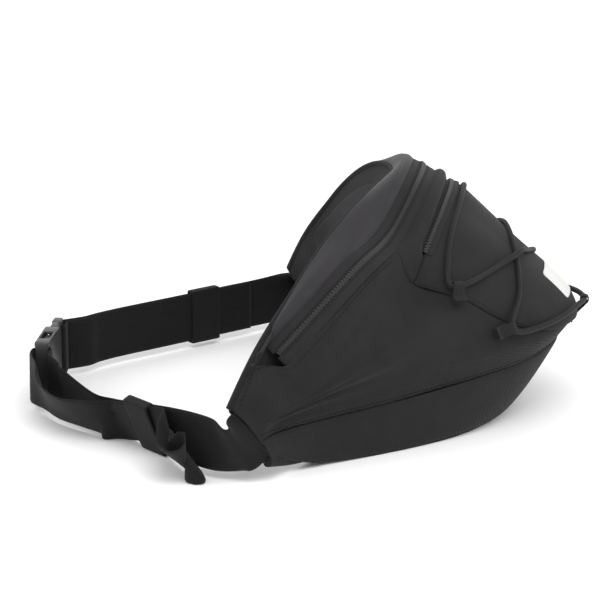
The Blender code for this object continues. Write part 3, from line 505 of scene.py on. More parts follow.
def moulded_finish(name, dark, light, roughness=0.42, metallic=0.0):
    """Plastic from a mould: fine grain, faint flow clouds and a few scuffs."""
    f = Finish(name, roughness, 0.0, specular=0.5, metallic=metallic)
    scuff = (f.noise(220.0, 5.0) > 0.64) * 0.5
    f.feed(base_color=f.mix(f.noise(25.0, 3.0) * 0.8 + scuff * 0.4, dark, light),
           roughness=f.noise(60.0) * 0.16 + (roughness - 0.08) + scuff * 0.15)
    f.raise_by(f.noise(1500.0, 2.0), 0.03 * MM, 0.5)
    return f.mat


FAR_WEBBING = webbing_finish("webbing", (0.0045, 0.0045, 0.0045), (0.0095, 0.0095, 0.0095))
TAB_WEBBING = webbing_finish("tab_webbing", (0.011, 0.0105, 0.011), (0.021, 0.0205, 0.021), 1.1 * MM,
                             across=True)
ELASTIC = braided_finish("elastic_sheath", (0.007, 0.007, 0.007), (0.016, 0.0155, 0.016))
PULL_CORD = braided_finish("pull_cord_sheath", (0.006, 0.006, 0.006), (0.014, 0.014, 0.014), 6, 1.8 * MM)
PLASTIC = moulded_finish("buckle_plastic", (0.020, 0.020, 0.0205), (0.038, 0.038, 0.039), 0.34)
TIP_PLASTIC = moulded_finish("tip_plastic", (0.012, 0.012, 0.012), (0.024, 0.024, 0.0245), 0.42)
TEETH = moulded_finish("zip_teeth", (0.009, 0.009, 0.009), (0.020, 0.020, 0.020), 0.42)
ENAMEL = moulded_finish("slider_enamel", (0.014, 0.014, 0.0145), (0.030, 0.030, 0.031), 0.3, 0.5)
THREAD = braided_finish("sewing_thread", (0.012, 0.012, 0.012), (0.026, 0.0255, 0.026), 2, 0.6 * MM)
PATCH_FILM = plain_weave("patch_film", (0.62, 0.62, 0.60), (0.80, 0.80, 0.78), 0.7 * MM, 0.42, 0.1)
print("hard and woven finishes ready")

# %% [markdown]
# ## The lines of the bag
# A sewn bag is ruled by its seams. Ten lines run the length of this one, each a function of x that
# gives where the line lies in depth and height: the back's two edges, the seams either side of
# the main zip, the pocket zip, the slope and nose of the pocket, and the lines underneath. Any
# point of the bag is then found by going from line to line along a smooth curve. The zips are
# true circular arcs, because a slider can only run along a track that bends evenly.

# %% Sizes that the lines are drawn with
half, back_y, depth, crest_z = 190 * MM, -65 * MM, 133 * MM, 180 * MM
nose_y = back_y - depth
belt_reach = 250 * MM
flat_half = 0.55 * half
end_top, end_low, end_bulge = vec(27 * MM, 49 * MM), vec(0, 17 * MM), 6 * MM
buckle_low, buckle_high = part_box("buckle_female")
yoke_low, yoke_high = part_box("yoke")
stand = vec((yoke_low[0] + yoke_high[0]) / 2, (buckle_low[1] + buckle_high[1]) / 2 - back_y - belt_reach, 0)
main_band = 19 * MM
main_lean, front_lean = 0.28, 0.30
print("the bag's frame stands at", np.round(stand, 5))


# %% Arcs of the zips
class Arc:
    """A circular track in a plane that holds the X direction: centre + r (sin a, cos a up)."""

    def __init__(self, top, foot, half_chord):
        rise = np.linalg.norm(top - foot)
        self.up = unit(top - foot)
        self.normal = vec(self.up[1], -self.up[0])
        self.radius = (half_chord ** 2 + rise ** 2) / (2 * rise)
        self.centre = top - self.radius * self.up
        self.limit = atan2(half_chord, self.radius - rise)

    def point(self, angle, out=0.0, across=0.0):
        angle = np.asarray(angle, dtype=float)
        r = self.radius + out
        y = self.centre[0] + r * np.cos(angle) * self.up[0] + across * self.normal[0]
        z = self.centre[1] + r * np.cos(angle) * self.up[1] + across * self.normal[1]
        return np.stack(np.broadcast_arrays(r * np.sin(angle), y, z), -1)

    def radial(self, angle):
        angle = np.asarray(angle, dtype=float)
        return np.stack([np.sin(angle), np.cos(angle) * self.up[0], np.cos(angle) * self.up[1]], -1)

    def tangent(self, angle):
        angle = np.asarray(angle, dtype=float)
        return np.stack([np.cos(angle), -np.sin(angle) * self.up[0], -np.sin(angle) * self.up[1]], -1)

    def axis(self):
        return vec(0, *self.normal)

    def at_x(self, x, out, across):
        return self.point(np.arcsin(np.clip(x / (self.radius + out), -1, 1)), out, across)[..., 1:]


def ground_rise(x):
    """The underside lifts from the ground towards the wings, as the square of the distance."""
    return end_low[1] * np.clip((np.abs(x) - flat_half) / (half - flat_half), 0, 1) ** 2


def line_back_low(x):
    s = np.abs(x) / half
    return np.stack([back_y + (end_low[0] - back_y) * s ** 1.45, ground_rise(x)], -1)


def line_back_top(x):
    s = np.abs(x) / half
    y = back_y - 3 * MM + (end_top[0] - back_y + 3 * MM) * s ** 1.45
    return np.stack([y, crest_z - 6 * MM + (end_top[1] - crest_z + 6 * MM) * s ** 2.4], -1)


main_foot = line_back_top(vec(160 * MM))[0] - vec(8.3, 8.5) * MM
main_zip = Arc(vec(back_y - 23.5 * MM, crest_z - 4.5 * MM), main_foot, 160 * MM)
front_top = vec(back_y - 44 * MM, crest_z - 15 * MM)
front_zip = Arc(front_top, front_top + vec(13.5, -30) * MM, 80 * MM)
print("main zip arc radius", round(main_zip.radius, 4), "front", round(front_zip.radius, 4))

# %% [markdown]
# The cloth round the main zip doesn't keep to the arc all the way: with little in the bag, the
# band slumps halfway down each side, and the seams there swing in a slow S. `slump` adds that
# to the seam lines and to the zip itself, and it fades out well before the parked sliders.

# %% Every line, from the back round to the underside
def slump(x):
    """How far the band sinks (depth, height) at x: a bell centred at 78 mm from the middle."""
    bell = bump((np.abs(x) - 82 * MM) / (34 * MM)) - 0.12 * bump(x / (40 * MM))
    return np.stack([3 * MM * bell, -13 * MM * bell], -1)


def end_point(share):
    """(y, z) on the front side of the end seam, from its upper to its lower corner."""
    run = end_low - end_top
    return end_top + share * run + unit(vec(run[1], -run[0])) * end_bulge * (0.35 + 0.65 * sin(pi * share))


def bulging(x, mid, share, ey, ez):
    """A line from its middle point out to the end seam, easing by powers of the distance."""
    s, end = np.clip(np.abs(x) / half, 0, 1), end_point(share)
    wy, wz = (1 - s ** ey[0]) ** ey[1], (1 - s ** ez[0]) ** ez[1]
    return np.stack([end[0] + (mid[0] - end[0]) * wy, end[1] + (mid[1] - end[1]) * wz], -1)


def to_end(x, line, share, start):
    """Past the end of a zip its seam runs straight to the end seam."""
    inside = line(np.clip(x, -start, start))
    t = np.clip((np.abs(x) - start) / (half - start), 0, 1)[..., None]
    return inside * (1 - t) + end_point(share) * t


def line_seam_yoke(x):
    edge = main_band / 2
    start = (main_zip.radius - main_lean * edge) * sin(main_zip.limit)
    return to_end(x, lambda v: main_zip.at_x(v, -main_lean * edge, edge), 0.03, start) + slump(x)


def line_seam_shell(x):
    edge = main_band / 2
    start = (main_zip.radius + main_lean * edge) * sin(main_zip.limit)
    return to_end(x, lambda v: main_zip.at_x(v, main_lean * edge, -edge), 0.12, start) + slump(x)


def line_front_zip(x):
    arc = front_zip.at_x(np.clip(x, -95 * MM, 95 * MM), 0, 0)
    free = bulging(x, front_top, 0.30, (2.6, 1.0), (2.0, 1.5))
    t = smooth((np.abs(x) - 80 * MM) / (20 * MM))[..., None]
    return arc * (1 - t) + free * t + slump(x) * t


def line_slope(x):
    return bulging(x, (back_y - 0.67 * depth, 0.685 * crest_z), 0.45, (2.6, 1.35), (2.0, 1.38))


def line_nose(x):
    return bulging(x, (nose_y, 0.45 * crest_z), 0.60, (2.3, 1.9), (2.0, 1.2))


def line_bottom_seam(x):
    return bulging(x, (nose_y + 10 * MM, 0.32 * crest_z), 0.72, (2.3, 2.2), (2.0, 3.0))


def line_front_low(x):
    plan = bulging(x, (nose_y + 45 * MM, 7 * MM), 0.88, (2.3, 1.9), (2.0, 1.9))
    toe = 5 * MM * np.clip(1 - (x / flat_half) ** 2, 0, 1)
    heel = (end_point(0.88)[1] - end_low[1]) * smooth((np.abs(x) / half - 0.7) / 0.3)
    return np.stack([plan[..., 0], ground_rise(x) + toe + heel], -1)


def line_flat_front(x):
    plan = bulging(x, (nose_y + 75 * MM, 0), 0.94, (2.3, 1.9), (2.0, 1.9))
    return np.stack([plan[..., 0], ground_rise(x)], -1)


LINES = (line_back_low, line_back_top, line_seam_yoke, line_seam_shell, line_front_zip, line_slope,
         line_nose, line_bottom_seam, line_front_low, line_flat_front, line_back_low)
(BACK_LOW, BACK_TOP, SEAM_YOKE, SEAM_SHELL, FRONT_ZIP, SLOPE, NOSE, BOTTOM_SEAM, FRONT_LOW,
 FLAT_FRONT, CLOSE) = range(11)
print(len(LINES), "lines")


# %% Any point of the bag, and the way out of it
def surface(x, v):
    """Point at x along the bag and v from line to line: a cubic through the four nearest lines."""
    x, v = np.broadcast_arrays(np.asarray(x, float), np.asarray(v, float))
    table = np.stack([line(x) for line in LINES], -2)
    k = np.clip(np.floor(v).astype(int), 0, CLOSE - 1)
    t = (v - k)[..., None]

    def pick(i):
        return np.take_along_axis(table, i[..., None, None].repeat(2, -1), -2)[..., 0, :]

    b, c = pick(k), pick(k + 1)
    a = np.where((k > BACK_TOP)[..., None], pick(np.clip(k - 1, 0, CLOSE)), 2 * b - c)
    d = np.where((k < FLAT_FRONT - 1)[..., None], pick(np.clip(k + 2, 0, CLOSE)), 2 * c - b)
    curve = cubic(a, b, c, d, t)
    flat = ((k == BACK_LOW) | (k >= FLAT_FRONT))[..., None]
    yz = np.where(flat, b + (c - b) * t, curve)
    yz[..., 1] = np.maximum(yz[..., 1], ground_rise(x))
    return np.concatenate([x[..., None], yz], -1)


def outward(x, v):
    """Unit normal: the cross product of a short step round the bag and one along it."""
    x, v = np.broadcast_arrays(np.asarray(x, float), np.asarray(v, float))
    k = np.floor(v)
    low, high = np.clip(v - 0.03, k, None), np.clip(v + 0.03, None, k + 1)
    across = surface(x, high) - surface(x, low)
    along = surface(x + 0.5 * MM, v) - surface(x - 0.5 * MM, v)
    return unit(np.cross(across, along))


def share(x, line, distance):
    """A distance across the surface as a part of the step from one line to the next."""
    width = np.linalg.norm(LINES[line + 1](x) - LINES[line](x), axis=-1)
    return distance / np.maximum(width, 0.1 * MM)


print("nose at", np.round(surface(0.0, NOSE) + stand, 4))

# %% [markdown]
# ## Sewn cloth
# What makes a flat pattern piece look sewn is what happens near its edge: the cloth dives into the
# seam, a row of stitches a few millimetres in pulls a shallow channel, and the cloth between
# stands up a little. Away from the edges it keeps soft dents and drag lines from being stuffed
# and carried. Both are small moves along the surface's normal, worked out from each point's
# distance to the piece's edges.

# %% Seams, dents and stitches
def edge_distance(grid):
    """Distance from each side of a grid to each point, measured on the cloth."""
    u, v = lengths(grid)
    return {"left": u, "right": u[:, -1:] - u, "low": v, "high": v[-1:] - v}


def seam_dip(grid, sides, depth=1.3 * MM, width=1.8 * MM, stitch_at=4.2 * MM):
    """Bell-shaped dive at the edge and a shallow channel under the stitches."""
    far = edge_distance(grid)
    dive = sum(bump(far[s] / width) for s in sides)
    channel = sum(bump((far[s] - stitch_at) / (0.8 * MM)) for s in sides)
    return -depth * np.minimum(dive, 1.0) - 0.35 * MM * np.minimum(channel, 1.0)


def dents(a, b, seed, size, count=7):
    """Sum of waves in chance directions whose lengths are near size; about one unit high."""
    rng = np.random.default_rng(seed)
    total = np.zeros(np.broadcast(a, b).shape)
    for angle, stretch, phase in zip(rng.uniform(0, pi, count), rng.uniform(0.7, 1.5, count),
                                     rng.uniform(0, 2 * pi, count)):
        total += np.sin(2 * pi / (size * stretch) * (a * cos(angle) + b * sin(angle)) + phase)
    return total / count ** 0.5


def stitches(name, path, normal, pitch=3.3 * MM, length=2.3 * MM, radius=0.28 * MM, mat=None, body="pack"):
    """A row of thread loops: each a short bowed capsule, copied along the path at even steps."""
    step = np.linalg.norm(np.diff(path, axis=0), axis=1)
    along = np.concatenate([[0], np.cumsum(step)])
    places = np.arange(pitch, along[-1] - pitch / 2, pitch)
    normal = np.broadcast_to(normal, path.shape)
    centre = np.stack([np.interp(places, along, path[:, i]) for i in range(3)], 1)
    up = unit(np.stack([np.interp(places, along, normal[:, i]) for i in range(3)], 1))
    behind = np.stack([np.interp(places - 0.3 * MM, along, path[:, i]) for i in range(3)], 1)
    way = unit(centre - behind)
    side = np.cross(up, way)
    t = np.linspace(-1, 1, 5)
    girth = radius * np.sqrt(np.maximum(1 - t ** 4, 0.05))
    angle = np.arange(6) * pi / 3
    ring_s = girth[:, None] * np.cos(angle)
    ring_u = girth[:, None] * np.sin(angle) + radius * (0.9 - 1.6 * t[:, None] ** 2)
    ring_w = np.broadcast_to((t * length / 2)[:, None], ring_s.shape)
    points = (centre[:, None, None] + ring_s[None, ..., None] * side[:, None, None]
              + ring_u[None, ..., None] * up[:, None, None] + ring_w[None, ..., None] * way[:, None, None])
    ends = [(3, 2, 1, 0), (5, 4, 3, 0), (24, 25, 26, 27), (24, 27, 28, 29)]
    one = np.concatenate([grid_quads(5, 6, close_cols=True), ends])
    quads = (one[None] + 30 * np.arange(len(places))[:, None, None]).reshape(-1, 4)
    uv = np.zeros((len(places) * 30, 2))
    ob = mesh_piece(name, points.reshape(-1, 3), quads, uv, mat or THREAD, body=body)
    print(name, len(places), "stitches")
    return outward_faces(ob)


# %% A panel on the bag's surface
back_way_at = lambda x: outward(x, np.full_like(np.asarray(x, float), 0.5))
strap_off = 3.0 * MM             # the strap's middle behind the back line, inside the end seam
cloth = 1.3 * MM


def close_end(points, x, side):
    """Over the last 11 mm the front and back cloths draw in until they pinch the strap."""
    x, points = np.asarray(x, float), np.asarray(points, float)
    t = smooth((np.abs(x) - (half - 12 * MM)) / (11 * MM))
    way = back_way_at(x)
    off = ((points - surface(x, np.full(x.shape, 0.5))) * way).sum(-1)
    target = strap_off + side * (0.8 * MM + cloth + 0.15 * MM)
    return points + way * (t * (target - off))[..., None]


def panel(name, x, v, mat, lift=0.0, seams=(), thickness=cloth, end=-1, slot=None, node=None, **seam_kw):
    """Cloth on the surface: grids of x and v, moved out by lift, with dives at the seams named."""
    x, v = np.broadcast_arrays(x, v)
    grid, normal = surface(x, v), outward(x, v)
    lift = lift + seam_dip(grid, seams, **seam_kw)
    grid = grid + normal * lift[..., None]
    if end:
        grid = close_end(grid, x, end)
    ob = sheet_of(name, grid + stand, thickness, mat, normal=-facing(grid), slot=slot)
    outward_faces(ob)
    if node:
        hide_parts(*node)
    print(name, len(ob.data.vertices), "points")
    return grid + stand, -facing(grid)


print("panel tools ready")

# %% [markdown]
# ## Side and bottom panels
# One panel wraps each side, from the end seam to the tongue of the front pocket. The tongue's
# edge is a superellipse: its width and its length, each to the third power, add up to one, which
# gives the full, round shape of the pocket. Rows of the panel follow that edge and then close
# under the nose. The cloth drags a little from the crease's corner to the end seam.

# %% The tongue's edge and the side panels
tongue_half, tongue_low = 93 * MM, NOSE + 0.35
wing_start = 164 * MM


def tongue_row(q):
    """Row of the tongue at q from 0 to 1: t = sin a and w = cos a, each to the two thirds."""
    a = pi / 2 * (1 - (1 - q) ** 1.5) ** 1.5
    return (SEAM_SHELL + (tongue_low - SEAM_SHELL) * np.sin(a) ** (2 / 3),
            tongue_half * np.maximum(np.cos(a), 1e-6) ** (2 / 3))


q = np.linspace(0, 1, 86)
v_tongue, w_tongue = tongue_row(q)
v_side = np.concatenate([v_tongue, tongue_low + (BOTTOM_SEAM - tongue_low) * np.linspace(0, 1, 26)[1:]])
w_side = np.concatenate([w_tongue, np.zeros(25)])


def side_lift(x, v, seed):
    """Soft dents, a shallow hollow below the crease and drag lines towards the end seam."""
    a, b = np.abs(x), v * 30 * MM
    rise = 0.9 * MM * dents(a, b, seed, 95 * MM, 5) + 0.28 * MM * dents(a, b, seed + 1, 34 * MM, 7)
    rise = rise - 3.2 * MM * bump((a - 112 * MM) / (26 * MM)) * bump((v - 4.3) / 0.8)
    rise = rise + 2.2 * MM * bump((a - 78 * MM) / (30 * MM)) * bump((v - 5.4) / 0.8)
    drag = np.sin(v * 9.0 + a * 24.0) * smooth((a - 118 * MM) / (40 * MM))
    drag = drag * smooth((187 * MM - a) / (25 * MM))
    pull = np.sin(v * 14.0 - a * 60.0) * bump((a - 128 * MM) / (22 * MM)) * bump((v - 3.5) / 0.7)
    return rise * smooth((half - a) / (30 * MM)) + 0.8 * MM * drag + 0.7 * MM * pull


for label, sign, seed in (("left", -1, 3), ("right", 1, 8)):
    u = np.linspace(0, 1, 96)[None, :]
    inner = w_side[:, None]
    body = inner + (wing_start - inner) * u
    wing = wing_start + (half - 1 * MM - wing_start) * np.linspace(0, 1, 34)[None, 1:]
    x = np.concatenate([body, wing + 0 * inner], 1)
    top_v = SEAM_SHELL - (SEAM_SHELL - BACK_TOP) * smooth((x - wing_start) / (8 * MM))
    v = top_v + (BOTTOM_SEAM - top_v) * ((v_side[:, None] - SEAM_SHELL) / (BOTTOM_SEAM - SEAM_SHELL))
    lift = side_lift(sign * x, v, seed)
    lift = lift + 1.0 * MM * smooth((x - wing_start + 8 * MM) / (8 * MM)) * smooth((3.6 - v) / 0.5)
    grid, way = panel("side_panel_" + label + "_cloth", sign * x, v, SIDE_CLOTH, lift, ("low", "high"),
                      slot="oxford_cloth", node=["side_panel_" + label])
    seam = np.abs(edge_distance(grid)["low"] - 4.2 * MM).argmin(0)
    cols = np.arange(8, grid.shape[1] - 2)
    stitches("shell_stitches_" + label, grid[seam[cols], cols], way[seam[cols], cols])
    seam = np.abs(edge_distance(grid)["high"] - 4.2 * MM).argmin(0)
    cols = np.arange(2, grid.shape[1] - 2)
    stitches("bottom_stitches_" + label, grid[seam[cols], cols], way[seam[cols], cols])

# %% The bottom panel
x = (half - 1 * MM) * np.sin(np.linspace(-1, 1, 221) * radians(75))[None, :] / sin(radians(75))
v = np.concatenate([np.linspace(BOTTOM_SEAM, FLAT_FRONT, 60), np.linspace(FLAT_FRONT, CLOSE, 20)[1:]])
v = v[:, None]
lift = 0.5 * MM * dents(x, v * 35 * MM, 21, 60 * MM) * bump((v - 7.9) / 0.75)
lift = lift - 1.4 * MM * bump((v - 8.05) / 0.12) * bump((np.abs(x) - 95 * MM) / (45 * MM))
panel("bottom_panel_cloth", x, v, SIDE_CLOTH, lift, ("low",), slot="oxford_cloth", node=["bottom_panel"])

# %% [markdown]
# ## The pocket and the top
# The pocket's front panel and the gusset above it are one tongue of twill, split by the pocket
# zip. A stuffed pocket stands proud of the sides, so the tongue swells a few millimetres between
# its seams. The edges along the zip are turned under and almost meet over it, which is why only
# a dark slot shows. The top panel is the smoother, coated cloth.

# %% Front panel, gusset and top panel


def slot_half(x):
    """Half the gap over the pocket zip; past the zip's ends the two edges close."""
    return 0.25 * MM + 2.05 * MM * smooth((84 * MM - np.abs(x)) / (7 * MM))


s = np.sin(np.linspace(-1, 1, 181) * radians(80))[None, :] / sin(radians(80))


def swell(u, height, power=6):
    """Height at the middle falling to nothing at the edge: one minus the share to a power."""
    return height * (1 - np.abs(u) ** power)


k = v_tongue > FRONT_ZIP + 0.02
v_line, w_line = v_tongue[k][:, None], w_tongue[k][:, None]
v_line = FRONT_ZIP + (v_line - v_line[0]) * (tongue_low - FRONT_ZIP) / (tongue_low - v_line[0])
x = w_line * s
v = v_line + share(x, FRONT_ZIP, slot_half(x)) * (1 - smooth((v_line - FRONT_ZIP) / 0.5))
lift = swell(s, 1.2 * MM) * smooth((tongue_low - v) / 0.9) * smooth((v - FRONT_ZIP) / 0.3)
lift = lift + 0.45 * MM * dents(x, v * 32 * MM, 5, 48 * MM) * smooth((v - FRONT_ZIP) / 0.3)
grid, way = panel("front_panel_cloth", x, v, POCKET_CLOTH, lift, ("low", "left", "right"), end=0,
                  slot="twill_cloth", node=["front_panel"], depth=2.0 * MM, width=2.4 * MM)
near = np.abs(edge_distance(grid)["low"] - 4.2 * MM).argmin(0)
cols = np.arange(6, grid.shape[1] - 6)
stitches("pocket_zip_stitches", grid[near[cols], cols], way[near[cols], cols])

v_line = np.linspace(SEAM_SHELL, FRONT_ZIP, 40)[:, None]
w_line = tongue_half * (1 - ((v_line - SEAM_SHELL) / (tongue_low - SEAM_SHELL)) ** 3) ** (1 / 3)
x = w_line * s
v = v_line - share(x, FRONT_ZIP - 1, slot_half(x)) * smooth((v_line - SEAM_SHELL - 0.4) / 0.6)
t = v_line - SEAM_SHELL
lift = 1.3 * MM * np.sin(pi * t) * (1 - s ** 8)
lift = lift + 0.3 * MM * dents(x, t * 24 * MM, 9, 40 * MM) * np.sin(pi * t)
grid, way = panel("gusset_cloth", x, v, POCKET_CLOTH, lift, ("low", "high", "left", "right"), end=0,
                  slot="twill_cloth", node=["gusset"], depth=1.7 * MM)
near = np.abs(edge_distance(grid)["low"] - 4.2 * MM).argmin(0)
cols = np.arange(6, grid.shape[1] - 6)
stitches("gusset_stitches", grid[near[cols], cols], way[near[cols], cols])

x = 171 * MM * np.sin(np.linspace(-1, 1, 201) * radians(78))[None, :] / sin(radians(78))
v = np.linspace(BACK_TOP, SEAM_YOKE, 40)[:, None]
a, t = np.abs(x), v - BACK_TOP
lift = 2.0 * MM * np.sin(pi * t) ** 0.8 * smooth((165 * MM - a) / (40 * MM))
lift = lift - 1.3 * MM * smooth((a - 160 * MM) / (8 * MM))
lift = lift - 3.5 * MM * bump((a - 62 * MM - 60 * MM * t) / (14 * MM)) * bump((t - 0.75) / 0.4)
lift = lift + 0.5 * MM * dents(x, t * 30 * MM, 13, 55 * MM) * np.sin(pi * t)
# The top panel's lighter, violet colour is partly painted light from above and a painted sheen.
grid, way = panel("yoke_cloth", x, v, TOP_CLOTH_PAINTED_LIGHT_AND_SHEEN, lift, ("high",), end=0, slot="yoke_cloth", node=["yoke"])
near = np.abs(edge_distance(grid)["high"] - 4.2 * MM).argmin(0)
cols = np.arange(12, grid.shape[1] - 12)
stitches("yoke_stitches", grid[near[cols], cols], way[near[cols], cols])

# %% [markdown]
# ## Zips
# A coil zip is two woven tapes with a spiral of plastic sewn to each edge; closed, the two
# spirals mesh into one row of small humps. The tapes are strips on the arc, the coil is several
# hundred small teeth copied along it, each a bent capsule of a few faces, and a sewn line runs
# down each side of it. The main zip follows the slump of the cloth, so the same sink is added
# to its points.

# %% Tapes and coils
tape = 0.8 * MM


def on_band(arc, angle, out, across, sink):
    """Point on a zip's band: the arc moved outwards and across, and sunk with the cloth."""
    p = arc.point(angle, out, across)
    if sink:
        p[..., 1:] += slump(p[..., 0])
    return p + stand


def zip_tape(name, arc, lean, near, far, reach, sink, node, count=260):
    """Strip between two distances across the track, dipping a little towards the seam."""
    angle = np.linspace(-reach, reach, count)[None, :]
    t = np.linspace(0, 1, 14)[:, None]
    across = near + (far - near) * t
    out = -lean * across - 0.5 * MM * smooth((t - 0.6) / 0.4) + 0.12 * MM * np.sin(angle * 37) * t
    grid = on_band(arc, angle, out, across, sink)
    if far < near:
        grid = grid[::-1]
    ob = sheet_of(name, grid, tape, TAPE_CLOTH, normal=-facing(grid), slot="twill_cloth")
    outward_faces(ob)
    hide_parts(node)


def zip_coil(name, arc, reach, sink, width, pitch, node):
    """Teeth at even steps: half loops whose ends dive into the tapes, one side then the other."""
    count = int(2 * reach * arc.radius / pitch)
    angle = np.linspace(-reach, reach, count)
    centre = on_band(arc, angle, 0.15 * MM, 0.0, sink)
    up, way = arc.radial(angle), arc.tangent(angle)
    side = np.broadcast_to(arc.axis(), up.shape)
    t = np.linspace(-1, 1, 9)
    ring = np.arange(6) * pi / 3
    girth = 0.42 * pitch * np.sqrt(np.maximum(1 - t ** 6, 0.08))
    lean_way = np.where(np.arange(count) % 2, 1.0, -1.0) * 0.22 * pitch
    a = np.broadcast_to((t * width / 2)[:, None], (9, 6))
    b = 0.55 * MM * (1 - t[:, None] ** 4) + girth[:, None] * np.sin(ring) * 0.8
    c = girth[:, None] * np.cos(ring)
    points = (centre[:, None, None] + a[None, ..., None] * side[:, None, None]
              + b[None, ..., None] * up[:, None, None]
              + (c[None] + lean_way[:, None, None] * t[None, :, None])[..., None] * way[:, None, None])
    last = 9 * 6 - 6
    one = np.concatenate([grid_quads(9, 6, close_cols=True), [(3, 2, 1, 0), (5, 4, 3, 0)],
                          np.array([(0, 1, 2, 3), (0, 3, 4, 5)]) + last])
    quads = (one[None] + 54 * np.arange(count)[:, None, None]).reshape(-1, 4)
    ob = mesh_piece(name, points.reshape(-1, 3), quads, np.zeros((count * 54, 2)), TEETH,
                    slot="coil_plastic")
    outward_faces(ob)
    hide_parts(node)
    print(name, count, "teeth")


main_reach = main_zip.limit + 3 * MM / main_zip.radius
front_reach = front_zip.limit + 1 * MM / front_zip.radius
for tag, sign in (("back", 1), ("front", -1)):
    zip_tape("main_tape_%s_cloth" % tag, main_zip, main_lean, sign * 1.9 * MM, sign * 9.9 * MM,
             main_reach, True, "main_tape_" + tag)
zip_coil("main_zip_teeth", main_zip, main_zip.limit, True, 4.6 * MM, 1.3 * MM, "main_coil")
for tag, sign in (("back", 1), ("front", -1)):
    zip_tape("front_tape_%s_cloth" % tag, front_zip, front_lean, sign * 1.6 * MM, sign * 5.4 * MM,
             front_reach, False, "front_tape_" + tag, 120)
zip_coil("pocket_zip_teeth", front_zip, front_zip.limit, False, 4.0 * MM, 1.3 * MM, "front_coil")

for side_of in (-1, 1):
    angle = np.linspace(-main_zip.limit, main_zip.limit, 300)
    across = side_of * 3.4 * MM
    line = on_band(main_zip, angle, -main_lean * across + 0.05 * MM, across, True)
    stitches("coil_stitches_" + ("front" if side_of < 0 else "back"), line, main_zip.radial(angle),
             pitch=2.4 * MM, length=1.9 * MM, radius=0.2 * MM)

# %% [markdown]
# ## Sliders and pulls
# Each slider is a small cast body over the coil: a top plate with a waist at one end, and a
# bridge that holds the pull. The pull is a loop of thin cord through the bridge, caught in a
# moulded grip. The grip tapers, with a rounded end and shallow ribs for the thumb. Each body and
# each pull rides on its own part of the frame, so it runs and swings.

# %% Sliders
def slider_piece(label, arc, angle):
    """Plate: rounded outlines stacked up the radius and inset at its edges. Bridge: a bowed strap."""
    tangent, radial, across = arc.tangent(angle), arc.radial(angle), arc.axis()
    seat = arc.point(angle) + stand
    u = np.linspace(0, 2 * pi, 49)[:-1]
    rings = []
    edges = ((0.9, 0.7), (0.95, 0.25), (1.25, 0.0), (2.0, 0.0), (2.4, 0.25), (2.5, 0.8), (2.5, 2.6))
    for h, inset in edges:
        a = (5.4 * MM - inset * MM) * np.sign(np.cos(u)) * np.abs(np.cos(u)) ** 0.7
        waist = 1 - 0.16 * np.cos(u) ** 2 * (np.cos(u) > 0)
        b = (4.3 * MM - inset * MM) * np.sign(np.sin(u)) * np.abs(np.sin(u)) ** 0.6 * waist
        rings.append(seat + a[:, None] * tangent + b[:, None] * across + h * MM * radial)
    rings = np.array(rings)
    caps = (np.arange(48)[::-1], np.arange(48) + 6 * 48)
    plate = mesh_piece(label + "_slider_body", rings.reshape(-1, 3), grid_quads(7, 48, close_cols=True),
                       np.zeros((7 * 48, 2)), ENAMEL, body=label + "_slider", slot="slider_metal",
                       extra=caps)
    outward_faces(plate)
    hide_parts(label + "_slider")
    t = np.linspace(0, pi, 25)
    arch = seat + (4.1 * MM * np.cos(t))[:, None] * tangent
    arch = arch + (2.1 * MM + 3.9 * MM * np.sin(t) ** 0.8)[:, None] * radial
    tube_of(label + "_slider_bridge", arch, slab_profile(1.7 * MM, 0.65 * MM, 4, 16), across, ENAMEL,
            body=label + "_slider", slot="slider_metal")


def pull_piece(label, arc, angle, tilt):
    """Cord loop: out along one leg, round through the bridge and back; the grip is a tapered loft."""
    tangent, radial, across = arc.tangent(angle), arc.radial(angle), arc.axis()
    bridge_rise = 5.8 * MM
    pivot = arc.point(angle, bridge_rise) + stand
    way = tangent * cos(tilt) + radial * sin(tilt)
    away = np.cross(across, way)
    wide, narrow, leg, bow = 4.4 * MM, 1.5 * MM, 31 * MM, 1.2 * MM
    line = [pivot + way * leg * t - across * (narrow + (wide - narrow) * (1 - smooth(1.15 * t)) ** 0.7)
            for t in np.linspace(1.04, 0.22, 8)]
    line += [pivot + across * wide * sin(a) * 0.96 + way * bow * (cos(a) - 1)
             for a in np.linspace(-1.35, 1.35, 7)]
    line += [p + 2 * across * (pivot - p).dot(across) for p in line[:8][::-1]]
    path = spline(line, 6)
    loop = tube_of(label + "_pull_loop", path, round_profile(1.25 * MM, 12), away, PULL_CORD,
                   body=label + "_pull", slot="cord")
    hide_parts(label + "_pull_cord")
    t = np.linspace(0, 1, 60)
    nose = np.sqrt(np.maximum(1 - np.maximum((t - 0.9) / 0.102, 0) ** 2, 0.02))
    girth = 2.9 * MM * (0.62 + 0.38 * smooth(t * 5)) * (1 - 0.12 * t) * nose
    girth = girth * (1 + 0.07 * np.sin(t * 75) * smooth((t - 0.2) / 0.1) * smooth((0.86 - t) / 0.1))
    path = pivot + way * (leg - 0.8 * MM + 21 * MM * t)[:, None]
    grip = tube_of(label + "_pull_grip", path, slab_profile(1.0, 1.25, 2.6, 24), away, TIP_PLASTIC,
                   scale=girth, body=label + "_pull", slot="buckle_plastic")
    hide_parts(label + "_pull_tip")
    print(label, "pull hangs at", np.round(pivot, 4))


for label, arc, angle, tilt in (("outer", main_zip, main_zip.limit - radians(3.5), 14),
                                ("inner", main_zip, main_zip.limit - radians(15), 24),
                                ("pocket", front_zip, front_zip.limit - radians(5), 18)):
    slider_piece(label, arc, angle)
    pull_piece(label, arc, angle, radians(tilt))

# %% [markdown]
# ## Elastic cord, its tabs and the patch
# One loop of elastic cord is laced in an X over the pocket. At each tab it turns inside a strip
# of webbing folded double and sewn down. The loop is a smooth closed curve through knots, each
# given by its share of the half length, its line on the bag, and a height above the cloth.

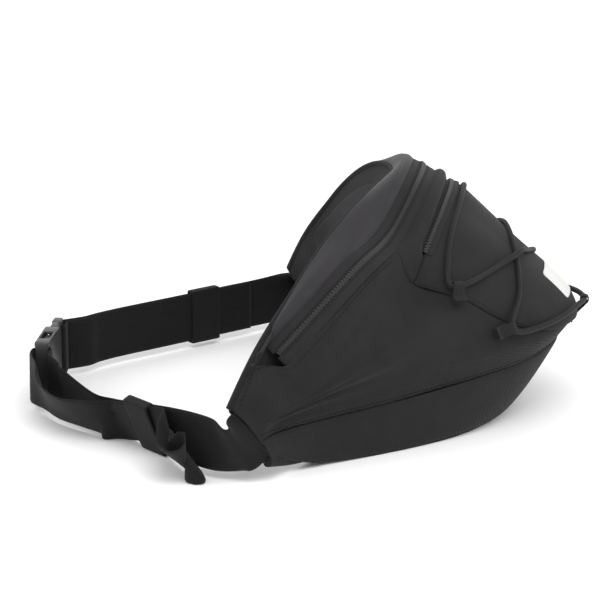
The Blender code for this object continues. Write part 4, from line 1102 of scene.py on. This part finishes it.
# %% The cord
cord_radius, cord_lift = 2.0 * MM, 3.6 * MM
LACING = [
    (0.000, 6.05, 4.7), (-0.080, 6.00, 2.6), (-0.180, 5.99, 1.0), (-0.270, 5.97, 1.0),
    (-0.340, 5.93, 2.4), (-0.383, 5.85, 3.9), (-0.396, 5.73, 4.6), (-0.383, 5.61, 3.9),
    (-0.350, 5.50, 2.0), (-0.295, 5.36, 0.0), (-0.220, 5.17, 0.0), (-0.150, 5.05, 0.0),
    (-0.060, 4.95, 0.0), (0.080, 4.84, 0.0), (0.200, 4.80, 0.0), (0.320, 4.79, 1.2),
    (0.412, 4.76, 3.2), (0.450, 4.66, 4.4), (0.452, 4.53, 2.0), (0.400, 4.36, 0.0),
    (0.300, 4.24, 0.0), (0.150, 4.20, 0.0), (0.000, 4.19, 0.0), (-0.150, 4.20, 0.0),
    (-0.300, 4.24, 0.0), (-0.400, 4.36, 0.0), (-0.452, 4.53, 2.0), (-0.450, 4.66, 4.4),
    (-0.412, 4.77, 3.2), (-0.340, 4.86, 1.2), (-0.270, 4.93, 0.6), (-0.205, 5.00, 3.5),
    (-0.150, 5.05, 5.4), (-0.095, 5.10, 3.5), (-0.020, 5.17, 0.6), (0.100, 5.26, 0.0),
    (0.220, 5.34, 0.0), (0.345, 5.50, 2.0), (0.383, 5.61, 3.9), (0.396, 5.73, 4.6),
    (0.383, 5.85, 3.9), (0.340, 5.93, 2.4), (0.270, 5.97, 1.0), (0.180, 5.99, 1.0),
    (0.080, 6.00, 2.6),
]
table = np.array(LACING)
bare = surface(table[:, 0] * half, table[:, 1])
away = outward(table[:, 0] * half, table[:, 1])
knots = bare + away * (cord_lift + table[:, 2] * MM)[:, None]
route = spline(knots, 14, closed=True) + stand
cord = tube_of("elastic_cord_sheath", route, round_profile(cord_radius, 16), vec(0, 0, 1), ELASTIC,
               closed=True, slot="cord")
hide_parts("elastic_cord")
print("cord loop", round(np.linalg.norm(route - np.roll(route, 1, 0), axis=1).sum(), 3), "m")


# %% The tabs
def cord_tab(name, index, reach, fan):
    """Strip folded round the cord: a rounded eye, then two layers that close and reach the cloth."""
    centre, normal = route[index * 14], away[index]
    along = unit(route[(index * 14 + 3) % len(route)] - route[index * 14 - 3])
    reach = unit(reach - np.dot(reach, along) * along)
    up = unit(np.cross(along, reach))
    up = up * np.sign(np.dot(up, normal))
    foot = bare[index] + stand + reach * 12 * MM + normal * 0.6 * MM
    eye = 2.9 * MM
    turn = np.linspace(-0.75 * pi, 0.75 * pi, 15)
    line = [centre - reach * eye * cos(a) + up * eye * sin(a) for a in turn]
    under = [foot + reach * 2 * MM - up * 0.3 * MM, foot - reach * 3 * MM - up * 0.5 * MM]
    over = [foot - reach * 3 * MM + up * 1.5 * MM, foot + reach * 2 * MM + up * 1.2 * MM]
    path = spline(under + line + over, 4)
    t = np.linspace(-1, 1, len(path))
    wide = 3.2 * MM + fan * smooth((np.abs(t) - 0.45) / 0.5)
    profile = slab_profile(1.0, 0.45 * MM, 4, 14)
    s, o = frames_along(path, along)[1:]
    rings = (path[:, None] + profile[None, :, :1] * wide[:, None, None] * s[:, None]
             + profile[None, :, 1:] * o[:, None])
    step = np.concatenate([[0], np.cumsum(np.linalg.norm(np.diff(path, axis=0), axis=1))])
    uv = np.stack(np.broadcast_arrays(profile[None, :, 0] * 3 * MM, step[:, None]), -1)
    n = len(profile)
    caps = (np.arange(n)[::-1], np.arange(n) + (len(path) - 1) * n)
    ob = mesh_piece(name + "_fold", rings.reshape(-1, 3), grid_quads(len(path), n, close_cols=True),
                    uv.reshape(-1, 2), TAB_WEBBING, slot="webbing", extra=caps)
    outward_faces(ob)
    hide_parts(name)


cord_tab("cord_tab_low_left", 6, vec(-1, 0.1, -0.9), 1.4 * MM)
cord_tab("cord_tab_high_right", 17, vec(1, 0.2, -0.4), 1.4 * MM)
cord_tab("cord_tab_high_left", 27, vec(-1, 0.2, -0.4), 1.4 * MM)
cord_tab("cord_tab_low_right", 39, vec(1, 0.1, -0.9), 1.4 * MM)
cord_tab("cord_tab_nose", 0, vec(0, 0.2, -1), 0.8 * MM)

# %% The patch
x = np.linspace(-18, 18, 49)[None, :] * MM
t = np.linspace(0, 1, 41)[:, None]
corner = np.minimum(np.minimum(t, 1 - t) * 28 * MM, 3 * MM)
x = x * (1 - (3 * MM - np.sqrt(np.maximum(9 * MM ** 2 - (3 * MM - corner) ** 2, 0))) / (18 * MM))
v = SLOPE + 0.42 + 0.42 * t + 0 * x
way = outward(x, v)
spread = 1 - np.abs(x / (0.62 * half)) ** 6
grid = surface(x, v) + way * ((1.2 * MM * spread)[..., None] + 1.5 * MM) + stand
patch = sheet_of("plain_patch", grid, 0.3 * MM, PATCH_FILM, normal=way, slot="patch_film")
outward_faces(patch)
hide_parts("reflective_patch")

# %% [markdown]
# ## Belt
# The belt is flat webbing, drawn as a ribbon: a path for its middle, and at each point the
# direction of its upper edge. Near the buckle it stands on edge. Half-way round, the left side
# has sagged over, so its upper edge falls outwards. A strap and the tail that lies against it
# lean alike, and any ring of points that would dip under the ground is lifted back to it.

# %% The ribbon
web_half, web_thick, layer = 19 * MM, 1.6 * MM, 2.2 * MM
belt_low = 5.5 * MM
belt_z = belt_low + web_half
buckle_y = (buckle_low[1] + buckle_high[1]) / 2
run_start, run_end = vec(172, 54) * MM + stand[:2], vec(80, 147) * MM + stand[:2]
run_way = unit(run_end - run_start)
run_out = vec(run_way[1], -run_way[0])
run_length = np.linalg.norm(run_end - run_start)
upright = vec(0, 0, 1)


def web_lines(name, centres, ups, per_span=10, **kw):
    """Ribbon through the centres, turned so that its edge follows the upward directions."""
    path, up = spline(centres, per_span), unit(spline(ups, per_span))
    up, side = frames_along(path, up)[1:]
    cross = np.linspace(-1, 1, 21)
    edge = np.sqrt(np.maximum(1 - np.maximum((np.abs(cross) - 0.965) / 0.036, 0) ** 2, 0.05))
    ripple = 1 + 0.05 * np.cos(cross * 19)
    a = np.concatenate([cross, cross[::-1]]) * web_half
    b = np.concatenate([edge * ripple, -(edge * ripple)[::-1]]) * web_thick / 2
    rings = path[:, None] + a[None, :, None] * up[:, None] + b[None, :, None] * side[:, None]
    rings[..., 2] += np.maximum(0.3 * MM - rings[..., 2].min(1), 0)[:, None]
    step = np.concatenate([[0], np.cumsum(np.linalg.norm(np.diff(path, axis=0), axis=1))])
    uv = np.stack(np.broadcast_arrays(a[None, :], step[:, None]), -1)
    n = len(a)
    caps = (np.arange(n)[::-1], np.arange(n) + (len(path) - 1) * n)
    ob = mesh_piece(name, rings.reshape(-1, 3), grid_quads(len(path), n, close_cols=True),
                    uv.reshape(-1, 2), FAR_WEBBING, slot="webbing", extra=caps, **kw)
    return outward_faces(ob)


def lean_at(d):
    """Sag of the left strap, in radians, at a distance along its run from the bag."""
    return radians(34) * bump((d - 100 * MM) / (40 * MM)) + radians(16) * bump((d - 45 * MM) / (34 * MM))


def on_run(distance, offset=0.0, side=1, lean=0.0):
    """Middle of a strap on its straight run; a leaning one is lowered to keep near the ground."""
    flat = run_start + run_way * distance + run_out * offset * cos(lean)
    drop = (1 - cos(lean)) * web_half + belt_low * sin(lean) * 0.9
    return vec(flat[0] * side, flat[1], belt_z - drop - offset * sin(lean))


def lean_up(side, lean):
    """Direction of the upper edge of a strap that leans outwards."""
    return vec(run_out[0] * side * sin(lean), run_out[1] * sin(lean), cos(lean))


def at_belt(x, y, z=0.0):
    return vec(x * MM, y * MM + stand[1], belt_z + z * MM)


# %% Straps beside the bag
def wing_end(back_off):
    """Point in the wing's end seam between front and back panels, and the seam's direction."""
    x = half - back_off
    p = surface(x, 0.5) + outward(x, 0.5) * 2.8 * MM + stand
    return p, unit(surface(x, 0.9) - surface(x, 0.1))


sewn, sewn_up = wing_end(4 * MM)
seam, seam_up = wing_end(0)
near_bag = [sewn, seam, seam + vec(8.9, 6.2, -6.0) * MM, vec(186.0, 37.9, 25.1) * MM + stand]
near_ups = [sewn_up + vec(-0.1, 0, 0), seam_up + vec(-0.1, 0, 0), vec(0.4, 0.45, 0.93), vec(0.06, 0.1, 1)]
male_low, male_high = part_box("buckle_male")
female_end_x, male_end_x = buckle_low[0], male_high[0]
bar, approach, gap_x = 3.2 * MM, 8 * MM, 1.2 * MM
fold_x, fold_off = male_end_x + approach, 3.5 * MM + 1.0 * MM


def buckle_turn(bar_x, thickness, way):
    """Webbing round a buckle's bar, in plan a flattened half circle."""
    points = []
    for angle in np.radians(np.linspace(-90, 90, 7)):
        across = (thickness / 2 + 1.4 * MM) * np.sign(angle) * abs(sin(angle)) ** 0.6
        along = (bar / 2 + web_thick / 2 + 0.7 * MM) * max(cos(angle), 0) ** 0.5
        points.append(vec(bar_x - way * along, buckle_y + across, belt_z))
    return points


fold_low, fold_high = vec(fold_x, buckle_y - fold_off, belt_z), vec(fold_x, buckle_y + fold_off, belt_z)
fold = [fold_low] + buckle_turn(male_end_x - bar / 2, 7 * MM, 1) + [fold_high]
ob = web_lines("male_fold_webbing", fold, [upright] * len(fold), body="clip_half")
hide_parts("male_fold")

right = near_bag + [on_run(run_length * t) for t in (0, 0.2, 0.4, 0.6, 0.8, 1.0)]
right += [at_belt(64, 161.5), at_belt(52, 171), fold_high + vec(gap_x, 0, 0)]
ob = web_lines("right_strap_webbing", right, near_ups + [upright] * 9, body=None)
tuple(on_run(run_length * 0.55))
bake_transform(ob)
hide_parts("right_strap")
tail = [fold_low + vec(gap_x, 0, 0), at_belt(50, 166.5), at_belt(62, 159.5)]
tail += [on_run(run_length * t, -layer) for t in (1.0, 0.75, 0.5, 0.25, 0.05)]
ob = web_lines("right_tail_webbing", tail, [upright] * len(tail), body=None)
tuple(on_run(run_length * 0.55))
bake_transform(ob)
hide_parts("right_tail")
print("right side of the belt ready")

# %% [markdown]
# The left strap sags, and so does its long tail: out of the buckle the tail swings wide, comes
# back against the strap, passes the keeper, and ends doubled back on itself in a soft finger.

# %% The left side of the belt
mirrored = vec(-1, 1, 1)
loose_x, loose_off = female_end_x - approach, 5.5 * MM + 1.0 * MM
loose_low = vec(loose_x, buckle_y - loose_off, belt_z)
loose_high = vec(loose_x, buckle_y + loose_off, belt_z)
places = [run_length * t for t in (0, 0.2, 0.4, 0.6, 0.8)]
left = [p * mirrored for p in near_bag] + [on_run(d, 0, -1, lean_at(d)) for d in places]
left_ups = [u * mirrored for u in near_ups] + [lean_up(-1, lean_at(d)) for d in places]
left += [at_belt(-66, 160, -2.5), at_belt(-57, 169, -0.8), loose_low - vec(gap_x, 0, 0)]
left_ups += [vec(-0.25, 0.25, 1), vec(-0.1, 0.1, 1), upright]
ob = web_lines("left_strap_webbing", left, left_ups)
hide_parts("left_strap")

tail = [loose_low] + buckle_turn(female_end_x + bar / 2, 11 * MM, -1) + [loose_high]
ups = [upright] * len(tail)
for x, y, z, lean in ((-62, 182, -1.0, 12), (-86, 170, -4.5, 32), (-104, 152, -6.5, 42),
                      (-116, 131, -6.0, 38)):
    tail.append(at_belt(x, y, z))
    ups.append(lean_up(-1, radians(lean)))
for d, more in ((84, 1.9), (76, 1.15), (66, 1.05), (56, 1.05), (46, 1.05), (36, 1.05), (29, 1.12),
                (24, 1.5)):
    tail.append(on_run(d * MM, layer * more, -1, lean_at(d * MM)))
    ups.append(lean_up(-1, lean_at(d * MM)))
for x, y, z, lean in ((-165, 71.5, -2.0, 22), (-176, 70, -5.0, 34), (-187, 66, -8.5, 46),
                      (-195, 61, -9.5, 50), (-196, 56, -9.5, 50), (-188, 57, -8.5, 46),
                      (-177, 60.5, -6.0, 36)):
    tail.append(at_belt(x, y, z))
    ups.append(lean_up(-1, radians(lean)))
ob = web_lines("left_tail_webbing", tail, ups)
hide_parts("left_tail")


# %% Keepers
def keeper(label, side, offset):
    """Band of webbing round the strap and its tail, its rounded corners made by a superellipse."""
    d = 52 * MM
    lean = lean_at(d) if side < 0 else 0.0
    centre = on_run(d, offset, side, lean)
    up = lean_up(side, lean)
    way = vec(run_way[0] * side, run_way[1], 0)
    out = np.cross(up, way)
    outer = slab_profile(layer / 2 + 3.0 * MM, web_half + 2.2 * MM, 9, 72)
    inner = slab_profile(layer / 2 + 1.5 * MM, web_half + 0.7 * MM, 9, 72)
    length = 13 * MM
    t = np.array([-1, -0.97, -0.8, -0.4, 0, 0.4, 0.8, 0.97, 1])
    plump = np.array([0.92, 0.98, 1, 1, 1.01, 1, 1, 0.98, 0.92])
    rings = []
    for place, size in zip(t, plump):
        rings.append(centre + way * place * length + outer[:, :1] * size * out
                     + outer[:, 1:] * (1 + (size - 1) * 0.1) * up)
    for place in t[::-1]:
        rings.append(centre + way * place * length + inner[:, :1] * out + inner[:, 1:] * up)
    rings = np.array(rings)
    around = np.concatenate([[0], np.cumsum(np.linalg.norm(np.diff(outer, axis=0), axis=1))])
    along = np.concatenate([t, t[::-1]])[:, None] * length
    uv = np.stack(np.broadcast_arrays(along, around[None, :]), -1)
    ob = mesh_piece(label + "_keeper_band", rings.reshape(-1, 3),
                    grid_quads(18, 72, close_rows=True, close_cols=True), uv.reshape(-1, 2),
                    FAR_WEBBING, body=label + "_keeper", slot="webbing")
    outward_faces(ob)
    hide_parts(label + "_keeper")


keeper("right", 1, -layer / 2)
keeper("left", -1, layer / 2)
print("belt ready")

# %% [markdown]
# ## Buckle
# Both halves are made of bars with rounded edges and ends, whose section is a superellipse and
# which meet inside one another. The receiving half has two broad faces with a hollow between
# them, open at its mouth and along both edges, where the prongs can be pressed, and a few ribs
# for grip. The clip half has a frame for the webbing, a guide, and the two prongs.

# %% Receiving half and clip half
def bar_piece(name, a, b, half_y, half_z, body, power=5.0, round_off=1.0 * MM):
    """Bar from a to b along X whose ends round off; half_y and half_z hold half size and middle."""
    t = np.concatenate([np.sin(np.linspace(-pi / 2, 0, 6)), [0], np.sin(np.linspace(0, pi / 2, 6))])
    x = np.concatenate([a + round_off * (1 + t[:6]), b - round_off * (1 - t[7:])])
    shrink = np.sqrt(np.maximum(1 - np.concatenate([t[:6], t[7:]]) ** 2, 0))
    rings = []
    for place, s in zip(x, shrink):
        inset = round_off * (1 - s)
        p = slab_profile(half_y[0] - inset, half_z[0] - inset, power, 40)
        rings.append(np.stack([np.full(40, place), p[:, 0] + half_y[1], p[:, 1] + half_z[1]], 1))
    rings = np.array(rings)
    n = len(rings)
    caps = (np.arange(40)[::-1], np.arange(40) + (n - 1) * 40)
    ob = mesh_piece(name, rings.reshape(-1, 3), grid_quads(n, 40, close_cols=True),
                    np.zeros((n * 40, 2)), PLASTIC, body=body, slot="buckle_plastic", extra=caps)
    return outward_faces(ob)


mid_z, top_z = 24.5 * MM, 49 * MM
mouth_x, y0 = buckle_high[0], buckle_y
shell_start = female_end_x + bar + 5 * MM
deep, tall = (5.3 * MM, y0), (24.2 * MM, mid_z)
parts = [bar_piece("receiver_bar", female_end_x, female_end_x + bar, deep, tall, "pack")]
for tag, z, rim_z in (("low", 2.4 * MM, 1.3 * MM), ("high", top_z - 2.4 * MM, top_z - 1.3 * MM)):
    parts.append(bar_piece("receiver_link_" + tag, female_end_x + 0.4 * MM, shell_start + 3 * MM,
                           deep, (2.35 * MM, z), "pack"))
    parts.append(bar_piece("receiver_rim_" + tag, mouth_x - 14 * MM, mouth_x, (5.4 * MM, y0),
                           (1.2 * MM, rim_z), "pack"))
for tag, y in (("near", y0 - 4.35 * MM), ("far", y0 + 4.35 * MM)):
    parts.append(bar_piece("receiver_face_" + tag, shell_start, mouth_x, (1.1 * MM, y), tall,
                           "pack", 7.0))
parts.append(bar_piece("receiver_web", shell_start, shell_start + 3.2 * MM, deep, tall, "pack"))
for k in range(3):
    rib_x = shell_start + (4.5 + 2.6 * k) * MM
    parts.append(bar_piece("receiver_rib_%d" % k, rib_x, rib_x + 1.5 * MM, (5.6 * MM, y0),
                           (6.5 * MM, mid_z), "pack", round_off=0.5 * MM))
for ob in parts:
    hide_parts("buckle_female")

slim = (3.4 * MM, y0)
clip = [bar_piece("clip_bar", male_end_x - bar, male_end_x, slim, tall, "clip_half"),
        bar_piece("clip_body", mouth_x + 1.0 * MM, male_end_x - bar - 5 * MM, slim, tall, "clip_half"),
        bar_piece("clip_guide", male_low[0], mouth_x + 3 * MM, (1.4 * MM, y0), (4 * MM, mid_z),
                  "clip_half", round_off=0.6 * MM)]
for tag, z in (("low", 2.4 * MM), ("high", top_z - 2.4 * MM)):
    clip.append(bar_piece("clip_link_" + tag, male_end_x - bar - 8 * MM, male_end_x - 0.4 * MM, slim,
                          (2.35 * MM, z), "clip_half"))
for ob in clip:
    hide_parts("buckle_male")

# %% Prongs
for label, sign in (("low", -1), ("high", 1)):
    lo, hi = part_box("prong_" + label)
    reach, root_x = hi[0] - lo[0], hi[0]
    outer_z = [18.3, 18.9, 21.6, 21.3, 20.3, 17.9]
    inner_z = [14.4, 14.6, 15.2, 15.9, 16.2, 16.4]
    t = np.array([0.0, 0.33, 0.5, 0.72, 0.88, 1.0])
    s = np.linspace(0, 1, 40)
    top, low = np.interp(s, t, outer_z) * MM, np.interp(s, t, inner_z) * MM
    tip = np.sqrt(np.maximum(1 - np.maximum((s - 0.93) / 0.0705, 0) ** 2, 0.02))
    mid, deep = (top + low) / 2, (top - low) / 2 * tip
    profile = slab_profile(1.0, 1.0, 5, 28)
    half_width = (hi[1] - lo[1]) / 2
    rings = np.stack([np.broadcast_to((root_x - reach * s)[:, None], (40, 28)),
                      y0 + profile[None, :, 0] * half_width * np.ones((40, 1)),
                      mid_z + sign * (mid[:, None] + profile[None, :, 1] * deep[:, None])], -1)
    caps = (np.arange(28)[::-1], np.arange(28) + 39 * 28)
    ob = mesh_piece("prong_%s_moulding" % label, rings.reshape(-1, 3),
                    grid_quads(40, 28, close_cols=True), np.zeros((40 * 28, 2)), PLASTIC,
                    body="prong_" + label, slot="buckle_plastic", extra=caps)
    outward_faces(ob)
    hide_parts("prong_" + label)
print("buckle ready")

# %% [markdown]
# ## Back panel, pad and bindings
# The back is a plain panel with a foam pad on it. The pad is a closed shell under spacer mesh,
# which the cloth solver blows up a little while it is held along its sewn channels. Folded
# tapes bind the top and bottom seams of the back.

# %% Back panel
def back_off(x):
    """Distance of the back panel's face from the bag's surface; it grows in the wings."""
    return 2.1 * MM + 4.2 * MM * smooth((np.abs(x) / half - 0.7) / 0.2)


x = (half - 1 * MM) * np.sin(np.linspace(-1, 1, 201) * radians(80))[None, :] / sin(radians(80))
v = np.linspace(BACK_LOW + 0.006, BACK_TOP - 0.006, 44)[:, None]
x, v = np.broadcast_arrays(x, v)
way = outward(x, v)
grid = surface(x, v) + way * back_off(x)[..., None] + stand
ob = outward_faces(sheet_of("back_panel_cloth", grid, 1.4 * MM, LINING, normal=way, slot="lining_cloth"))
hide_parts("back_panel")

# %% Bindings
for tag, v_at in (("top", BACK_TOP - 0.004), ("low", BACK_LOW + 0.004)):
    x = (half - 1.5 * MM) * np.sin(np.linspace(-1, 1, 241) * radians(80)) / sin(radians(80))
    way = outward(x, v_at + 0 * x)
    line = surface(x, v_at + 0 * x) + way * (back_off(x) * 0.55)[:, None] + stand
    line[:, 2] = np.maximum(line[:, 2], 2.1 * MM)
    girth = 1.5 * MM + back_off(x) * 0.25
    tube_of("binding_" + tag, line, slab_profile(1.0, 1.0, 2.4, 20), vec(0, 0, 1), BINDING, scale=girth)
    if tag == "top":
        stitches("binding_stitches", line + way * girth[:, None] * 0.95, way)
print("back closed")

# %% [markdown]
# The pad is simulated. Its start is the flat shell; pressure fills it; the points along the
# channels and the rim are pinned. After twenty steps the shape is kept, each point limited to
# five millimetres from where it began.

# %% The pad
x = 155 * MM * np.sin(np.linspace(-1, 1, 101) * radians(70))[None, :] / sin(radians(70))
v = np.linspace(0.09, 0.91, 45)[:, None]
x, v = np.broadcast_arrays(x, v)
way = outward(x, v)
across, along = np.linspace(-1, 1, 45)[:, None], x / (155 * MM)
edge_fade = (1 - np.abs(across) ** 6) * (1 - np.abs(along) ** 8)
base = surface(x, v) + way * (back_off(x) + 0.3 * MM)[..., None] + stand
face = base + way * (2.4 * MM * edge_fade + 0.5 * MM)[..., None]
rows, cols = x.shape
start = np.concatenate([face, base[::-1]])
quads = grid_quads(2 * rows, cols, close_rows=True)
r = np.arange(rows - 1)[:, None]
far = (2 * rows - 1 - r) * cols
left_side = np.concatenate([r * cols, (r + 1) * cols, far - cols, far], 1)
right_side = np.concatenate([r * cols, far, far - cols, (r + 1) * cols], 1) + cols - 1
u_map, v_map = lengths(face)
uv = np.concatenate([np.stack([u_map, v_map], -1), np.stack([u_map, v_map], -1)[::-1]]).reshape(-1, 2)
MESH_CLOTH = plain_weave("spacer_mesh", (0.010, 0.010, 0.010), (0.034, 0.034, 0.034), 2.0 * MM, 0.85)
pad = mesh_piece("back_pad_mesh", start.reshape(-1, 3), np.concatenate([quads, left_side, right_side]), uv,
                 MESH_CLOTH, slot="spacer_mesh")
outward_faces(pad)
channel = np.minimum.reduce([np.abs(x[0] - c * MM) for c in (-105, -52, 0, 52, 105)]) < 2.2 * MM
pinned = np.zeros((2 * rows, cols), bool)
pinned[rows:] = True
pinned[:rows, channel] = True
pinned[:2] = pinned[rows - 2:rows] = True
pinned[:, :2] = pinned[:, -2:] = True
group = pad.vertex_groups.new(name="pin")
group.add([int(i) for i in np.flatnonzero(pinned.ravel())], 1.0, "REPLACE")
settle = pad.modifiers.new("Cloth", "CLOTH")
cloth_settings = settle.settings
cloth_settings.vertex_group_mass = "pin"
cloth_settings.quality = 5
cloth_settings.tension_stiffness = cloth_settings.compression_stiffness = 8
cloth_settings.bending_stiffness = 1.5
cloth_settings.use_pressure = True
cloth_settings.uniform_pressure_force = 4
cloth_settings.effector_weights.gravity = 0
scene = bpy.context.scene
for step in range(1, 21):
    scene.frame_set(step)
settled = pad.evaluated_get(bpy.context.evaluated_depsgraph_get()).to_mesh()
moved = np.zeros(len(pad.data.vertices) * 3, np.float32)
settled.vertices.foreach_get("co", moved)
pad.modifiers.remove(settle)
scene.frame_set(1)
first = start.reshape(-1, 3)
shift = moved.reshape(-1, 3).astype(float) - first
size = np.linalg.norm(shift, axis=1, keepdims=True)
shift = shift * np.minimum(1, 5 * MM / np.maximum(size, 1e-9))
print("pad moved", round(float(size.max()) * 1000, 2), "mm at most")
pad.data.vertices.foreach_set("co", (first + shift).astype(np.float32).ravel())
pad.data.update()
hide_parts("back_pad")
bpy.context.view_layer.update()

# %% [markdown]
# The divider inside the bag is never seen in full, so the frame's own piece is kept and given
# the lining cloth.

# %% The divider
for ob in bpy.data.objects:
    if ob.type == "MESH" and ob.name.split(".")[0] == "pocket_divider":
        ob.data.materials.clear()
        ob.data.materials.append(LINING)
        print("divider lined")
